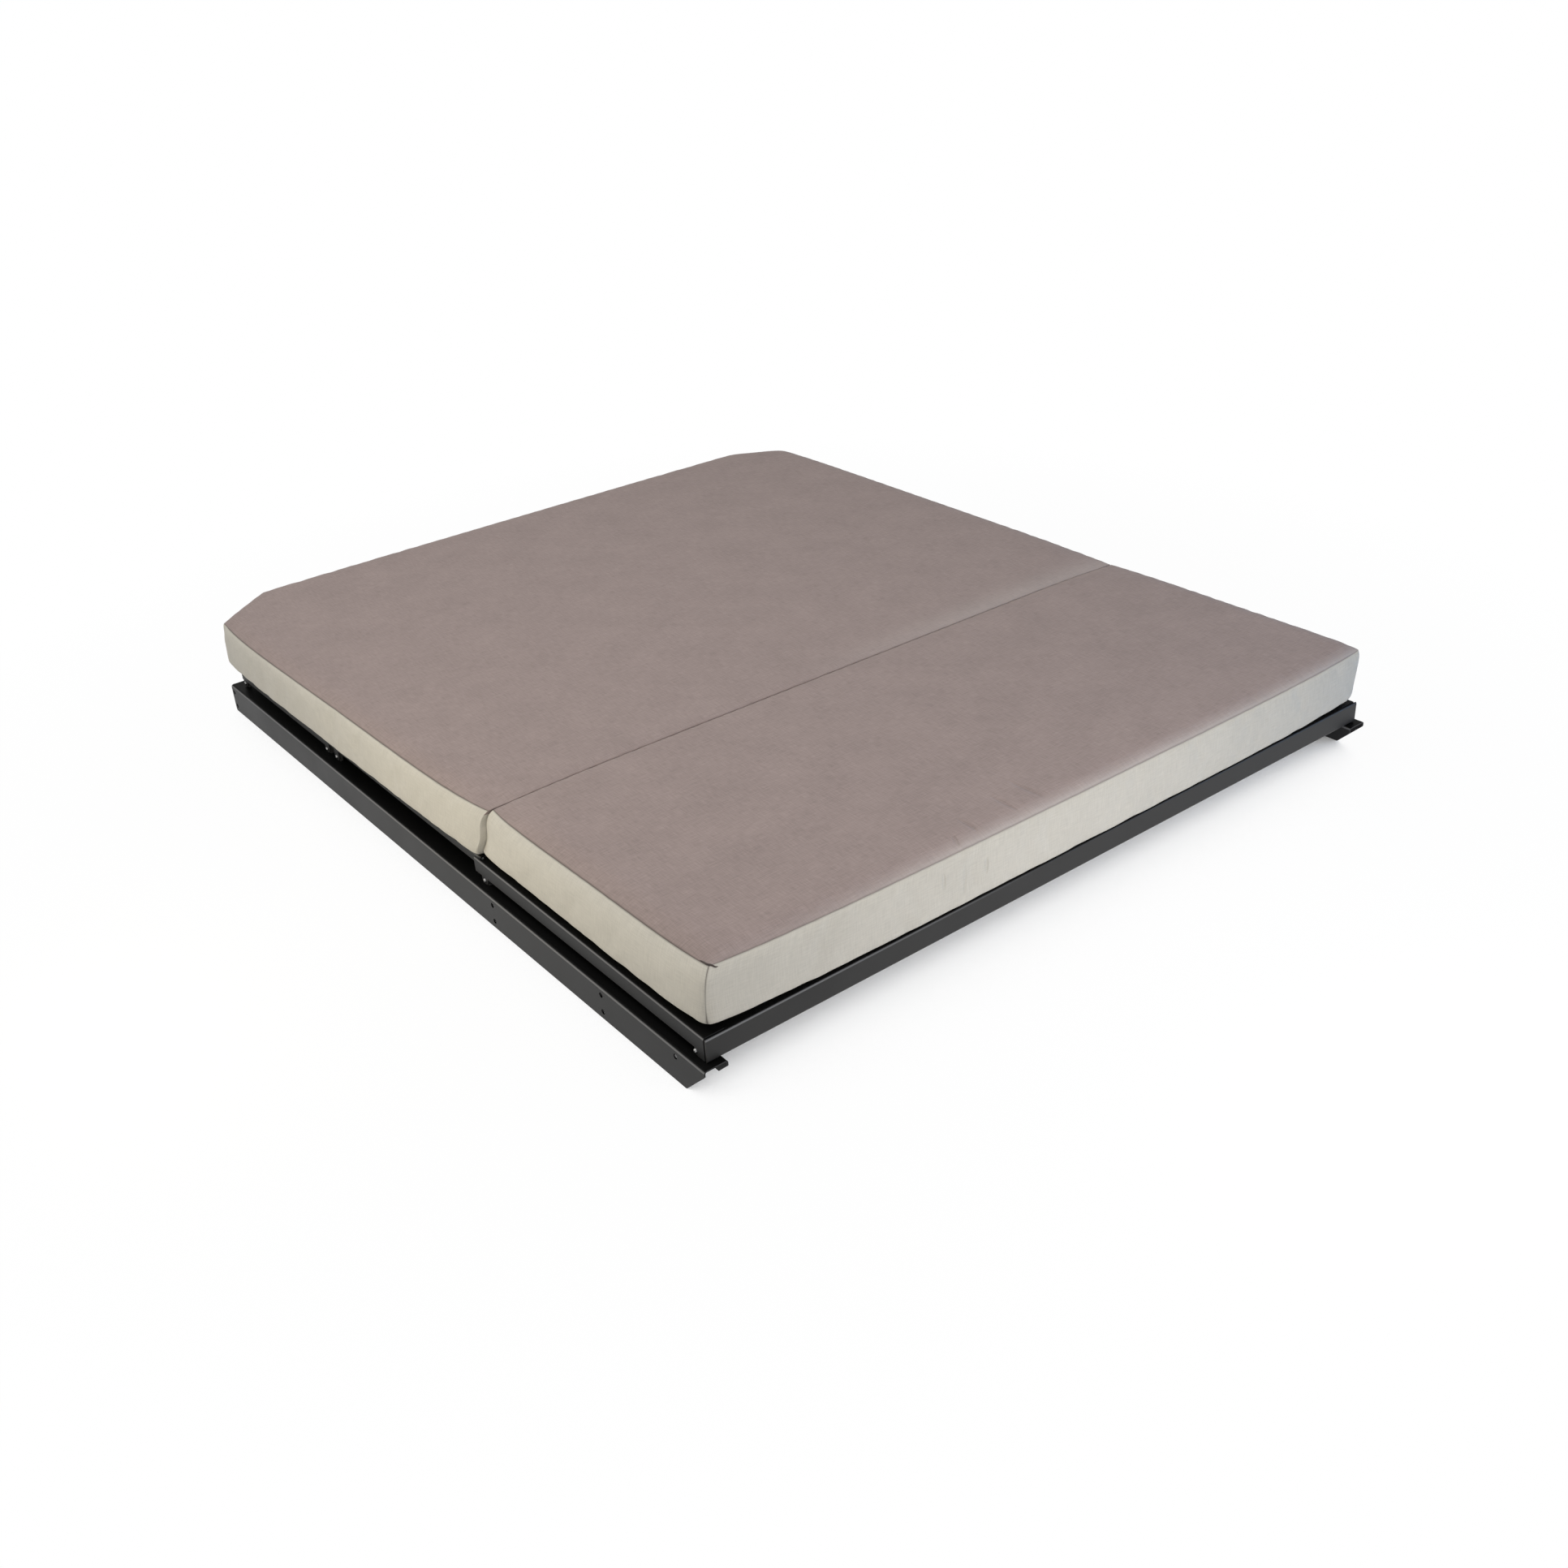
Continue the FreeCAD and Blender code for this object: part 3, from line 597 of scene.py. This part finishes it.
def seam_marks(obj, cover):
    """Shares of painted shade along the seams and of the painted highlight bands at each vertex, for the cover's
    materials.
    """
    share = np.zeros(len(cover.points), np.float32)
    share[cover.rings[0][seam_columns(cover)]] = 1.0
    if cover.joint_side:
        share[cover.rings[0][cover.side_of_ring() == 0]] = FRONT_SEAM
    # Painted shade also down the upright seams at the corners
    for corner in sewn_corners(cover):
        for ring in cover.rings[:-1]:
            share[ring[corner]] = 1.0
    mark = obj.data.attributes.new("seam", "FLOAT", "POINT")
    mark.data.foreach_set("value", share)
    # Painted highlight bands: along the front seam of the front cover, along the joint of the rear cover
    painted_light_band = np.zeros(len(cover.points), np.float32)
    inside = (cover.along * cover.depth)[:, None] + np.zeros(cover.columns)[None, :]
    on_top = slice(0, cover.rows * cover.columns)
    if cover.joint_side:
        painted_light_band[on_top] = np.exp(-((inside / EDGE_HIGHLIGHT_REACH) ** 2)).ravel()
        painted_light_band[cover.rings[0]] = 0.0
        painted_light_band[cover.rings[0][cover.side_of_ring() == 0]] = 1.0
        painted_light_band *= np.interp(cover.points[:, 0], EDGE_HIGHLIGHT_FROM, EDGE_HIGHLIGHT_SHARES)
    else:
        painted_light_band[on_top] = np.exp(-((inside / JOINT_HIGHLIGHT_REACH) ** 2)).ravel()
        painted_light_band *= np.interp(cover.points[:, 0], JOINT_HIGHLIGHT_FROM, (0.0, JOINT_HIGHLIGHT))
    mark = obj.data.attributes.new("painted_light_band", "FLOAT", "POINT")
    mark.data.foreach_set("value", painted_light_band)


def sewn_corners(cover):
    """Places in the ring of the upright seams: the two corners away from the joint, on the front cover."""
    return cover.corner_columns()[:2] if cover.joint_side else []


def sink_seams(points, cover):
    """Draw the seams into the cover as a narrow groove."""
    sewn = seam_columns(cover)
    inwards = (cover.normal + np.array([0, 0, 1])) * SEAM_SLANT
    points[cover.rings[0][sewn]] -= inwards[sewn] * SEAM_DEPTH
    for corner in sewn_corners(cover):
        for ring in cover.rings[1:-1]:
            points[ring[corner]] -= cover.normal[corner] * SEAM_DEPTH


def make_cover(name, *shape):
    """One mattress: a swollen sewn cover over its CAD solid."""
    cover = Cover(*shape)
    obj = cloth_object(name, cover)
    fabric_coordinates(obj, cover)
    points = cover.points.copy()
    points += simulate(obj, cover)
    sink_seams(points, cover)
    seam_marks(obj, cover)
    obj.data.vertices.foreach_set("co", points.astype(np.float32).ravel())
    obj.data.update()
    smooth = obj.modifiers.new("Smooth", "SUBSURF")
    smooth.levels = 1
    smooth.render_levels = 1
    mesh = bpy.data.meshes.new_from_object(obj.evaluated_get(bpy.context.evaluated_depsgraph_get()))
    obj.modifiers.clear()
    obj.data = mesh
    if sewn_corners(cover):
        press_creases(mesh)
        corner_fold(mesh, points, cover)
    return obj


def groove(places, start, end, width):
    """Depth share at places of a sheet from a groove between two of its places."""
    start, end = np.array(start), np.array(end)
    heading = (end - start) / np.linalg.norm(end - start)
    offset = places - (start + end) / 2
    lengthways = (offset @ heading) / (np.linalg.norm(end - start) / 2)
    sideways = (offset @ np.array([-heading[1], heading[0]])) / (width * CREASE_SPREAD)
    reach = np.clip(lengthways**2 + sideways**2, 0, 1)
    return (1 - reach) ** 2


def press_creases(mesh):
    """Dips of the front cover along its creases, downwards on the top and inwards on the front face."""
    places = np.zeros(len(mesh.vertices) * 3, np.float32)
    mesh.vertices.foreach_get("co", places)
    places = places.reshape(-1, 3)
    on_top = places[:, 2] > TOP_SEAM
    for crease in TOP_CREASES:
        places[:, 2] -= on_top * CREASE_DIP * groove(places[:, :2], *crease)
    ahead = (places[:, 1] < FRONT_PLAN[0][1]) & ~on_top
    unrolled = np.stack([places[:, 0] - FRONT_PLAN[0][0], places[:, 2] - TOP_SEAM], axis=1)
    for crease in BORDER_CREASES:
        places[:, 1] += ahead * CREASE_DIP * groove(unrolled, *crease)
    mesh.vertices.foreach_set("co", places.ravel())
    mesh.update()


def corner_fold(mesh, points, cover):
    """Small tucked fold of cloth at the front left corner, as a thin roll on the seam painted dark as shade."""
    ring = points[cover.rings[0]]
    corner = ring[0]
    behind = ring[-FOLD_LOOK] - corner
    behind /= np.linalg.norm(behind)
    along = ring[FOLD_LOOK] - corner
    along /= np.linalg.norm(along)
    up = np.array([0, 0, 1.0])
    out = cover.normal[0]
    ahead = np.array([0, -1.0, 0])
    steps = np.array(CORNER_FOLD)
    path = corner + steps[:, :5] @ np.array([behind, along, up, out, ahead])
    knots = np.concatenate([path, steps[:, 5:]], axis=1)[:, None, :]
    tube = smooth_between(knots, np.linspace(0, 1, FOLD_RINGS))[0][:, 0, :]
    builder = bmesh.new()
    builder.from_mesh(mesh)
    seam = builder.verts.layers.float["seam"]
    rings = []
    for number, (x, y, z, width) in enumerate(tube):
        after = tube[min(number + 1, len(tube) - 1)]
        before = tube[max(number - 1, 0)]
        heading = Vector(after[:3] - before[:3]).normalized()
        side = heading.cross(Vector((0, 0, 1))).normalized()
        lift = side.cross(heading)
        ring = []
        for step in range(FOLD_SIDES):
            angle = step * 2 * math.pi / FOLD_SIDES
            reach = (side * math.cos(angle) + lift * math.sin(angle)) * width
            vertex = builder.verts.new(Vector((x, y, z)) + reach)
            # The fold takes the painted seam shade
            vertex[seam] = 1.0
            ring.append(vertex)
        rings.append(ring)
    for first, second in zip(rings, rings[1:]):
        for step in range(FOLD_SIDES):
            after = (step + 1) % FOLD_SIDES
            face = builder.faces.new((first[step], second[step], second[after], first[after]))
            face.smooth = True
    builder.to_mesh(mesh)
    builder.free()


def material(name):
    """New node material and the parts of it that every finish uses."""
    made = bpy.data.materials.new(name)
    made.use_nodes = True
    nodes = made.node_tree.nodes
    return made, nodes, made.node_tree.links, nodes["Principled BSDF"]


def stretched_noise(nodes, links, source, scale, detail):
    """Noise stretched along one axis of its coordinates."""
    mapping = nodes.new("ShaderNodeMapping")
    mapping.inputs["Scale"].default_value = scale
    links.new(source, mapping.inputs["Vector"])
    grain = nodes.new("ShaderNodeTexNoise")
    grain.inputs["Scale"].default_value = 1.0
    grain.inputs["Detail"].default_value = detail
    links.new(mapping.outputs["Vector"], grain.inputs["Vector"])
    return grain.outputs["Fac"]


def combine(nodes, links, operation, first, second):
    """One step of arithmetic with two values, each a socket or a number."""
    node = nodes.new("ShaderNodeMath")
    node.operation = operation
    for socket, value in zip(node.inputs, (first, second)):
        if isinstance(value, (int, float)):
            socket.default_value = value
        else:
            links.new(value, socket)
    return node.outputs[0]


def blend_colours(nodes, links, share, first, second):
    """Mix of two colours by a share, each a socket or a colour."""
    node = nodes.new("ShaderNodeMix")
    node.data_type = "RGBA"
    links.new(share, node.inputs["Factor"])
    for socket, value in zip((node.inputs[6], node.inputs[7]), (first, second)):
        if isinstance(value, tuple):
            socket.default_value = (*value, 1)
        else:
            links.new(value, socket)
    return node.outputs[2]


def relief(nodes, links, height, strength, distance):
    """Bump in a surface, as the node that holds its normal."""
    bump = nodes.new("ShaderNodeBump")
    bump.inputs["Strength"].default_value = strength
    bump.inputs["Distance"].default_value = distance
    links.new(height, bump.inputs["Height"])
    return bump


def share_of(nodes, links, attribute, most):
    """Share that the mesh keeps under a name, times its most."""
    kept = nodes.new("ShaderNodeAttribute")
    kept.attribute_name = attribute
    return combine(nodes, links, "MULTIPLY", kept.outputs["Fac"], most)


def threads(nodes, links, cloth, direction):
    """Waves of the weave in one direction of the cloth."""
    wave = nodes.new("ShaderNodeTexWave")
    wave.bands_direction = direction
    wave.inputs["Scale"].default_value = WEAVE_SCALE
    wave.inputs["Distortion"].default_value = WEAVE_WOBBLE
    links.new(cloth, wave.inputs["Vector"])
    return wave.outputs["Fac"]


def weighted(nodes, links, first, first_weight, second, second_weight):
    """Sum of two values with their weights."""
    parts = [
        combine(nodes, links, "MULTIPLY", first, first_weight),
        combine(nodes, links, "MULTIPLY", second, second_weight),
    ]
    return combine(nodes, links, "ADD", *parts)


def woven_fabric(name, colour, contrast, creases, crease_shade):
    """Melange weave: slubs along both threads and a fine weave in relief, with painted shade along the seams and
    creases and painted highlight bands.
    """
    made, nodes, links, shader = material(name)
    places = nodes.new("ShaderNodeUVMap")
    places.uv_map = "cloth"
    cloth = places.outputs["UV"]
    weft = stretched_noise(nodes, links, cloth, (SLUB_LENGTHWAYS, SLUB_CROSSWAYS, 1), SLUB_DETAIL)
    warp = stretched_noise(nodes, links, cloth, (SLUB_CROSSWAYS, SLUB_LENGTHWAYS, 1), SLUB_DETAIL)
    broad = stretched_noise(nodes, links, cloth, (MOTTLE_SCALE, MOTTLE_SCALE, 1), MOTTLE_DETAIL)
    slubs = weighted(nodes, links, weft, 0.5, warp, 0.5)
    mottle = weighted(nodes, links, slubs, 1 - MOTTLE_SHARE, broad, MOTTLE_SHARE)
    dark = tuple(channel * (1 - contrast) for channel in colour)
    light = tuple(channel * (1 + contrast) for channel in colour)
    heather = blend_colours(nodes, links, between(nodes, links, mottle, *MOTTLE_RANGE, 0.0, 1.0), dark, light)
    # Painted shade along the seams
    seam_shade = share_of(nodes, links, "seam", SEAM_SHADE_MOST)
    # Painted highlight bands on the rolled edges
    painted_light = share_of(nodes, links, "painted_light_band", HIGHLIGHT_BAND_MOST)
    depth = 0.0
    for crease in creases:
        depth = combine(nodes, links, "ADD", fold_line(nodes, links, cloth, *crease), depth)
    # Painted shade in the creases
    shade = combine(nodes, links, "MULTIPLY", depth, crease_shade)
    creased = blend_colours(nodes, links, shade, heather, SEAM_AND_CREASE_SHADE)
    lit_edge = blend_colours(nodes, links, painted_light, creased, PAINTED_EDGE_LIGHT)
    links.new(blend_colours(nodes, links, seam_shade, lit_edge, SEAM_AND_CREASE_SHADE), shader.inputs["Base Color"])
    across = threads(nodes, links, cloth, "X")
    weave = combine(nodes, links, "MULTIPLY", across, threads(nodes, links, cloth, "Y"))
    height = combine(nodes, links, "ADD", weave, combine(nodes, links, "MULTIPLY", slubs, SLUB_RELIEF))
    fine = relief(nodes, links, height, *WEAVE_RELIEF)
    folds = relief(nodes, links, combine(nodes, links, "MULTIPLY", depth, -1.0), 1.0, CREASE_DEPTH)
    links.new(fine.outputs["Normal"], folds.inputs["Normal"])
    links.new(folds.outputs["Normal"], shader.inputs["Normal"])
    shader.inputs["Roughness"].default_value = 0.92
    shader.inputs["Specular IOR Level"].default_value = 0.25
    shader.inputs["Sheen Weight"].default_value = 0.12
    shader.inputs["Sheen Roughness"].default_value = 0.5
    return made


def fold_line(nodes, links, cloth, start, end, width):
    """Soft groove between two places of the cloth, 1 on its line and fading at its sides and ends."""
    heading = Vector(end) - Vector(start)
    mapping = nodes.new("ShaderNodeMapping")
    mapping.vector_type = "TEXTURE"
    mapping.inputs["Location"].default_value = ((start[0] + end[0]) / 2, (start[1] + end[1]) / 2, 0)
    mapping.inputs["Rotation"].default_value = (0, 0, math.atan2(heading.y, heading.x))
    mapping.inputs["Scale"].default_value = (heading.length / 2, width, 1)
    links.new(cloth, mapping.inputs["Vector"])
    local = nodes.new("ShaderNodeSeparateXYZ")
    links.new(mapping.outputs["Vector"], local.inputs["Vector"])
    squares = []
    for axis in "XY":
        way = combine(nodes, links, "ABSOLUTE", local.outputs[axis], 0)
        squares.append(combine(nodes, links, "POWER", way, 2))
    reach = combine(nodes, links, "ADD", *squares)
    return between_soft(nodes, links, reach)


def between_soft(nodes, links, reach):
    """1 at 0, falling smoothly to 0 at 1."""
    node = nodes.new("ShaderNodeMapRange")
    node.interpolation_type = "SMOOTHERSTEP"
    node.inputs["From Min"].default_value = 0.0
    node.inputs["From Max"].default_value = 1.0
    node.inputs["To Min"].default_value = 1.0
    node.inputs["To Max"].default_value = 0.0
    links.new(reach, node.inputs["Value"])
    return node.outputs["Result"]


def plain_noise(nodes, links, scale, detail):
    """Noise in the piece's own coordinates."""
    grain = nodes.new("ShaderNodeTexNoise")
    grain.inputs["Scale"].default_value = scale
    grain.inputs["Detail"].default_value = detail
    links.new(nodes.new("ShaderNodeTexCoord").outputs["Object"], grain.inputs["Vector"])
    return grain.outputs["Fac"]


def between(nodes, links, value, low, high, first, last):
    """Value carried from one range to another, held at its ends."""
    node = nodes.new("ShaderNodeMapRange")
    for name, number in zip(("From Min", "From Max", "To Min", "To Max"), (low, high, first, last)):
        node.inputs[name].default_value = number
    links.new(value, node.inputs["Value"])
    return node.outputs["Result"]


def powder_coat(name, bend_axis, dark, light, gloss):
    """Satin black powder coat: a fine orange peel and uneven gloss, with painted highlights on the bends and
    painted shade on faces that look up.
    """
    made, nodes, links, shader = material(name)
    cloud = plain_noise(nodes, links, 6, 5)
    links.new(between(nodes, links, cloud, 0.3, 0.7, 0.38, 0.48), shader.inputs["Roughness"])
    facing = nodes.new("ShaderNodeSeparateXYZ")
    links.new(nodes.new("ShaderNodeNewGeometry").outputs["Normal"], facing.inputs["Vector"])
    # Painted shade on faces that look up
    top_shade_share = between(nodes, links, facing.outputs["Z"], 0.55, 0.85, 0.0, 1.0)
    # Painted highlight on the bends
    lean = between(nodes, links, facing.outputs["Z"], 0.08, 0.35, 0.0, 1.0)
    aside = combine(nodes, links, "ABSOLUTE", facing.outputs[bend_axis], 0)
    bend = combine(nodes, links, "MULTIPLY", lean, between(nodes, links, aside, 0.30, 0.50, 0.0, 1.0))
    if bend_axis == "Y":
        across = nodes.new("ShaderNodeSeparateXYZ")
        links.new(nodes.new("ShaderNodeTexCoord").outputs["Object"], across.inputs["Vector"])
        # The painted highlight on the beams' bends fades along X
        bend_highlight_fade = between(nodes, links, across.outputs["X"], *BEAM_HIGHLIGHT_FROM, *BEAM_HIGHLIGHT_SHARES)
        bend = combine(nodes, links, "MULTIPLY", bend, bend_highlight_fade)
    upright = blend_colours(nodes, links, between(nodes, links, cloud, 0.35, 0.65, 0.0, 1.0), dark, light)
    painted_bend_light = blend_colours(nodes, links, bend, upright, BEND_PAINTED_HIGHLIGHT)
    links.new(blend_colours(nodes, links, top_shade_share, painted_bend_light, TOP_PAINTED_SHADE), shader.inputs["Base Color"])
    links.new(between(nodes, links, top_shade_share, 0.0, 1.0, gloss, TOP_GLOSS), shader.inputs["Specular IOR Level"])
    peel = relief(nodes, links, plain_noise(nodes, links, 900, 2), *COAT_RELIEF)
    links.new(peel.outputs["Normal"], shader.inputs["Normal"])
    return made


def moulded_nylon():
    """Matte black nylon with a fine grain."""
    made, nodes, links, shader = material("nylon")
    grain = plain_noise(nodes, links, 700, 3)
    links.new(blend_colours(nodes, links, grain, *NYLON), shader.inputs["Base Color"])
    shader.inputs["Roughness"].default_value = 0.62
    skin = relief(nodes, links, grain, *NYLON_RELIEF)
    links.new(skin.outputs["Normal"], shader.inputs["Normal"])
    return made


def bright_steel():
    """Dull zinc-plated steel with a fine grain."""
    made, nodes, links, shader = material("bright_steel")
    grain = plain_noise(nodes, links, 420, 3)
    links.new(blend_colours(nodes, links, grain, *STEEL), shader.inputs["Base Color"])
    links.new(between(nodes, links, grain, 0.3, 0.7, 0.24, 0.38), shader.inputs["Roughness"])
    shader.inputs["Metallic"].default_value = 1.0
    return made


def camera():
    """Camera at the photograph's place, turn, tilt and roll."""
    data = bpy.data.cameras.new("camera")
    data.sensor_width = CAMERA_SENSOR
    data.lens = CAMERA_LENS
    obj = bpy.data.objects.new("camera", data)
    bpy.context.scene.collection.objects.link(obj)
    forward = Vector((
        math.sin(CAMERA_YAW) * math.cos(CAMERA_PITCH),
        math.cos(CAMERA_YAW) * math.cos(CAMERA_PITCH),
        -math.sin(CAMERA_PITCH),
    ))
    right = Vector((math.cos(CAMERA_YAW), -math.sin(CAMERA_YAW), 0))
    down = forward.cross(right)
    level = Matrix((right, -down, -forward)).transposed()
    turned = level @ Matrix.Rotation(CAMERA_ROLL, 3, "Z")
    obj.matrix_world = Matrix.Translation(CAMERA_PLACE) @ turned.to_4x4()
    bpy.context.scene.camera = obj


def area_light(name, place, aim, size, power, colour):
    """Soft lamp that points at a place."""
    data = bpy.data.lights.new(name, "AREA")
    data.shape = "RECTANGLE"
    data.size, data.size_y = size
    data.energy = power
    data.color = colour
    obj = bpy.data.objects.new(name, data)
    obj.location = place
    obj.rotation_euler = (Vector(aim) - Vector(place)).to_track_quat("-Z", "Y").to_euler()
    bpy.context.scene.collection.objects.link(obj)


def seen_directly(nodes, links):
    """1 for camera, glossy and transmission rays."""
    path = nodes.new("ShaderNodeLightPath")
    total = combine(nodes, links, "MAXIMUM", path.outputs["Is Camera Ray"], path.outputs["Is Glossy Ray"])
    return combine(nodes, links, "MAXIMUM", total, path.outputs["Is Transmission Ray"])


def studio():
    """White surroundings, a pale floor that keeps the shadow, and soft lamps."""
    world = bpy.data.worlds.new("studio")
    bpy.context.scene.world = world
    world.use_nodes = True
    nodes, links = world.node_tree.nodes, world.node_tree.links
    lit = nodes["Background"]
    lit.inputs["Color"].default_value = WORLD_COLOUR
    lit.inputs["Strength"].default_value = WORLD_STRENGTH
    white = nodes.new("ShaderNodeBackground")
    white.inputs["Color"].default_value = (1, 1, 1, 1)
    either = nodes.new("ShaderNodeMixShader")
    links.new(seen_directly(nodes, links), either.inputs["Fac"])
    links.new(lit.outputs["Background"], either.inputs[1])
    links.new(white.outputs["Background"], either.inputs[2])
    links.new(either.outputs["Shader"], nodes["World Output"].inputs["Surface"])

    mesh = bpy.data.meshes.new("floor")
    corners = [(x * FLOOR_REACH, y * FLOOR_REACH, 0) for x, y in ((-1, -1), (1, -1), (1, 1), (-1, 1))]
    mesh.from_pydata(corners, [], [(0, 1, 2, 3)])
    floor = bpy.data.objects.new("floor", mesh)
    bpy.context.scene.collection.objects.link(floor)
    made, nodes, links, shader = material("pale_floor")
    shader.inputs["Base Color"].default_value = FLOOR_COLOUR
    shader.inputs["Roughness"].default_value = 0.9
    shader.inputs["Specular IOR Level"].default_value = 0.0
    glow = nodes.new("ShaderNodeEmission")
    mixed = nodes.new("ShaderNodeMixShader")
    closed_in = nodes.new("ShaderNodeAmbientOcclusion")
    closed_in.samples = FLOOR_RAYS
    closed_in.inputs["Distance"].default_value = FLOOR_CLOSED_REACH
    open_share = between(nodes, links, closed_in.outputs["AO"], *FLOOR_OPEN, 0.0, 1.0)
    distance = nodes.new("ShaderNodeVectorMath")
    distance.operation = "LENGTH"
    links.new(nodes.new("ShaderNodeTexCoord").outputs["Object"], distance.inputs[0])
    white = between(nodes, links, distance.outputs["Value"], *FLOOR_SHADOW_REACH, FLOOR_NEAR_WHITE, 1.0)
    lit = combine(nodes, links, "MULTIPLY", white, open_share)
    share = combine(nodes, links, "MULTIPLY", seen_directly(nodes, links), lit)
    links.new(share, mixed.inputs["Fac"])
    links.new(shader.outputs["BSDF"], mixed.inputs[1])
    links.new(glow.outputs["Emission"], mixed.inputs[2])
    links.new(mixed.outputs["Shader"], nodes["Material Output"].inputs["Surface"])
    mesh.materials.append(made)

    for name, place, aim, size, power, colour in LAMPS:
        area_light(name, place, aim, size, power, colour)


def dress(finishes, crosswise):
    """Finishes of the CAD nodes by the record's slots, with the beams' bends running crosswise."""
    for part in frame["record"]["subparts"]:
        finish = finishes.get(part["material_slot"])
        if part["node"].endswith("_beam"):
            finish = crosswise
        if finish:
            mesh = NODES[part["node"]].data
            mesh.materials.clear()
            mesh.materials.append(finish)


def bolt_head(centre, facing):
    """Rings of a button head with a hexagon socket, on an upright face that looks along X."""
    profile = [
        (BOLT_RADIUS, -0.0002),
        (BOLT_RADIUS, 0.15 * BOLT_RISE),
        (0.94 * BOLT_RADIUS, 0.42 * BOLT_RISE),
        (0.78 * BOLT_RADIUS, 0.76 * BOLT_RISE),
        (0.58 * BOLT_RADIUS, 0.96 * BOLT_RISE),
        (0.48 * BOLT_RADIUS, BOLT_RISE),
    ]
    angles = np.arange(BOLT_STEPS) * 2 * math.pi / BOLT_STEPS
    sixth = math.pi / 3
    socket = SOCKET_RADIUS * math.cos(sixth / 2) / np.cos(np.mod(angles, sixth) - sixth / 2)
    rings = [(np.full(BOLT_STEPS, radius), rise) for radius, rise in profile]
    floor = BOLT_RISE - SOCKET_DEPTH
    rings += [(socket, BOLT_RISE), (socket, floor), (socket * 0.02, floor)]
    points = []
    for radius, rise in rings:
        for angle, reach in zip(angles, radius):
            points.append((
                centre[0] + facing * rise,
                centre[1] + facing * reach * math.cos(angle),
                centre[2] + reach * math.sin(angle),
            ))
    faces = []
    for level in range(len(rings) - 1):
        for number in range(BOLT_STEPS):
            after = (number + 1) % BOLT_STEPS
            low, high = level * BOLT_STEPS, (level + 1) * BOLT_STEPS
            faces.append((low + number, low + after, high + after, high + number))
    return points, faces


def mesh_piece(name, points, faces, finish):
    """Object of one mesh in one finish."""
    mesh = bpy.data.meshes.new(name)
    mesh.from_pydata(points, [], faces)
    mesh.materials.append(finish)
    obj = bpy.data.objects.new(name, mesh)
    bpy.context.scene.collection.objects.link(obj)
    return obj


def bolts(name, places, body, finish):
    """Bolt heads of one body as a single piece."""
    points = []
    faces = []
    for centre, facing in places:
        head_points, head_faces = bolt_head(centre, facing)
        faces += [tuple(len(points) + number for number in face) for face in head_faces]
        points += head_points
    obj = mesh_piece(name, points, faces, finish)
    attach(obj, body)


def lug_bolts(finish):
    """A bolt on the outer face of each lug, on both sides."""
    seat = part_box("seat_left_side")
    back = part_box("back_left_side")
    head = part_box("head_left_side")
    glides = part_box("back_glides")
    seat_depths = [seat[0].y + SEAT_FRONT_BOLT, HINGE.y - SEAT_REAR_BOLT]
    back_depths = [back[1].y - BACK_BOLT, head[0].y + HEAD_FRONT_BOLT, glides[1].y - HEAD_REAR_BOLT]
    for name, outer, depths, body in (
        ("seat_bolts", seat[0].x, seat_depths, "base"),
        ("back_bolts", back[0].x, back_depths, "back"),
    ):
        places = []
        for depth in depths:
            places.append(((outer, depth, BOLT_HEIGHT), -1))
            places.append(((-outer, depth, BOLT_HEIGHT), 1))
        bolts(name, places, body, finish)


def slot_shade_strips(finish):
    """Dark strips under the seams between the front beam and the seat's sides, standing in for the shade in the
    slots.
    """
    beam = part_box("seat_front_beam")
    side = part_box("seat_left_side")
    points = []
    faces = []
    for facing in (-1, 1):
        first = len(points)
        for x in (side[0].x + TAB_INSET, side[0].x + TAB_INSET + TAB_LENGTH):
            for y in (side[0].y - TAB_AHEAD, side[0].y - TAB_AHEAD + TAB_WIDTH):
                for drop in (TAB_DROP, TAB_DROP + TAB_SHEET):
                    points.append((-facing * x, y, beam[1].z - drop))
        for face in BOX_FACES:
            order = face if facing > 0 else face[::-1]
            faces.append(tuple(first + number for number in order))
    obj = mesh_piece("slot_shade_strips", points, faces, finish)
    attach(obj, "base")


def mattresses():
    """The two covers, each on its body."""
    top = woven_fabric("cover_top", TAUPE, TAUPE_CONTRAST, TOP_CREASES, TOP_CREASE_SHADE)
    border = woven_fabric("cover_border", CREAM, CREAM_CONTRAST, BORDER_CREASES, BORDER_CREASE_SHADE)
    front = make_cover(
        "front_mattress_cover", FRONT_PLAN, FRONT_MID_PLAN, FRONT_JOINT_SIDE, FRONT_BULGES,
        FRONT_MID_BULGES, FRONT_RADII, FRONT_REACHES, FRONT_CELL,
    )
    rear = make_cover(
        "rear_mattress_cover", REAR_PLAN, REAR_MID_PLAN, REAR_JOINT_SIDE, REAR_BULGES,
        REAR_MID_BULGES, REAR_RADII, REAR_REACHES, REAR_CELL,
    )
    for obj, node, body in ((front, "front_mattress", "base"), (rear, "rear_mattress", "back")):
        obj.data.materials.append(top)
        obj.data.materials.append(border)
        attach(obj, body)
        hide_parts(node)
    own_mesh(front)


bpy.context.scene.view_settings.view_transform = "Standard"
camera()
studio()
finishes = {
    "black_powder_coat": powder_coat("black_powder_coat", "X", BLACK, BLACK_LIGHT, GLOSS),
    "nylon": moulded_nylon(),
    "bright_steel": bright_steel(),
}
beam_coat = powder_coat("black_powder_coat_crosswise", "Y", BEAM_BLACK, BEAM_BLACK_LIGHT, BEAM_GLOSS)
dress(finishes, beam_coat)
lug_bolts(finishes["bright_steel"])
slot_shade_strips(finishes["black_powder_coat"])
mattresses()
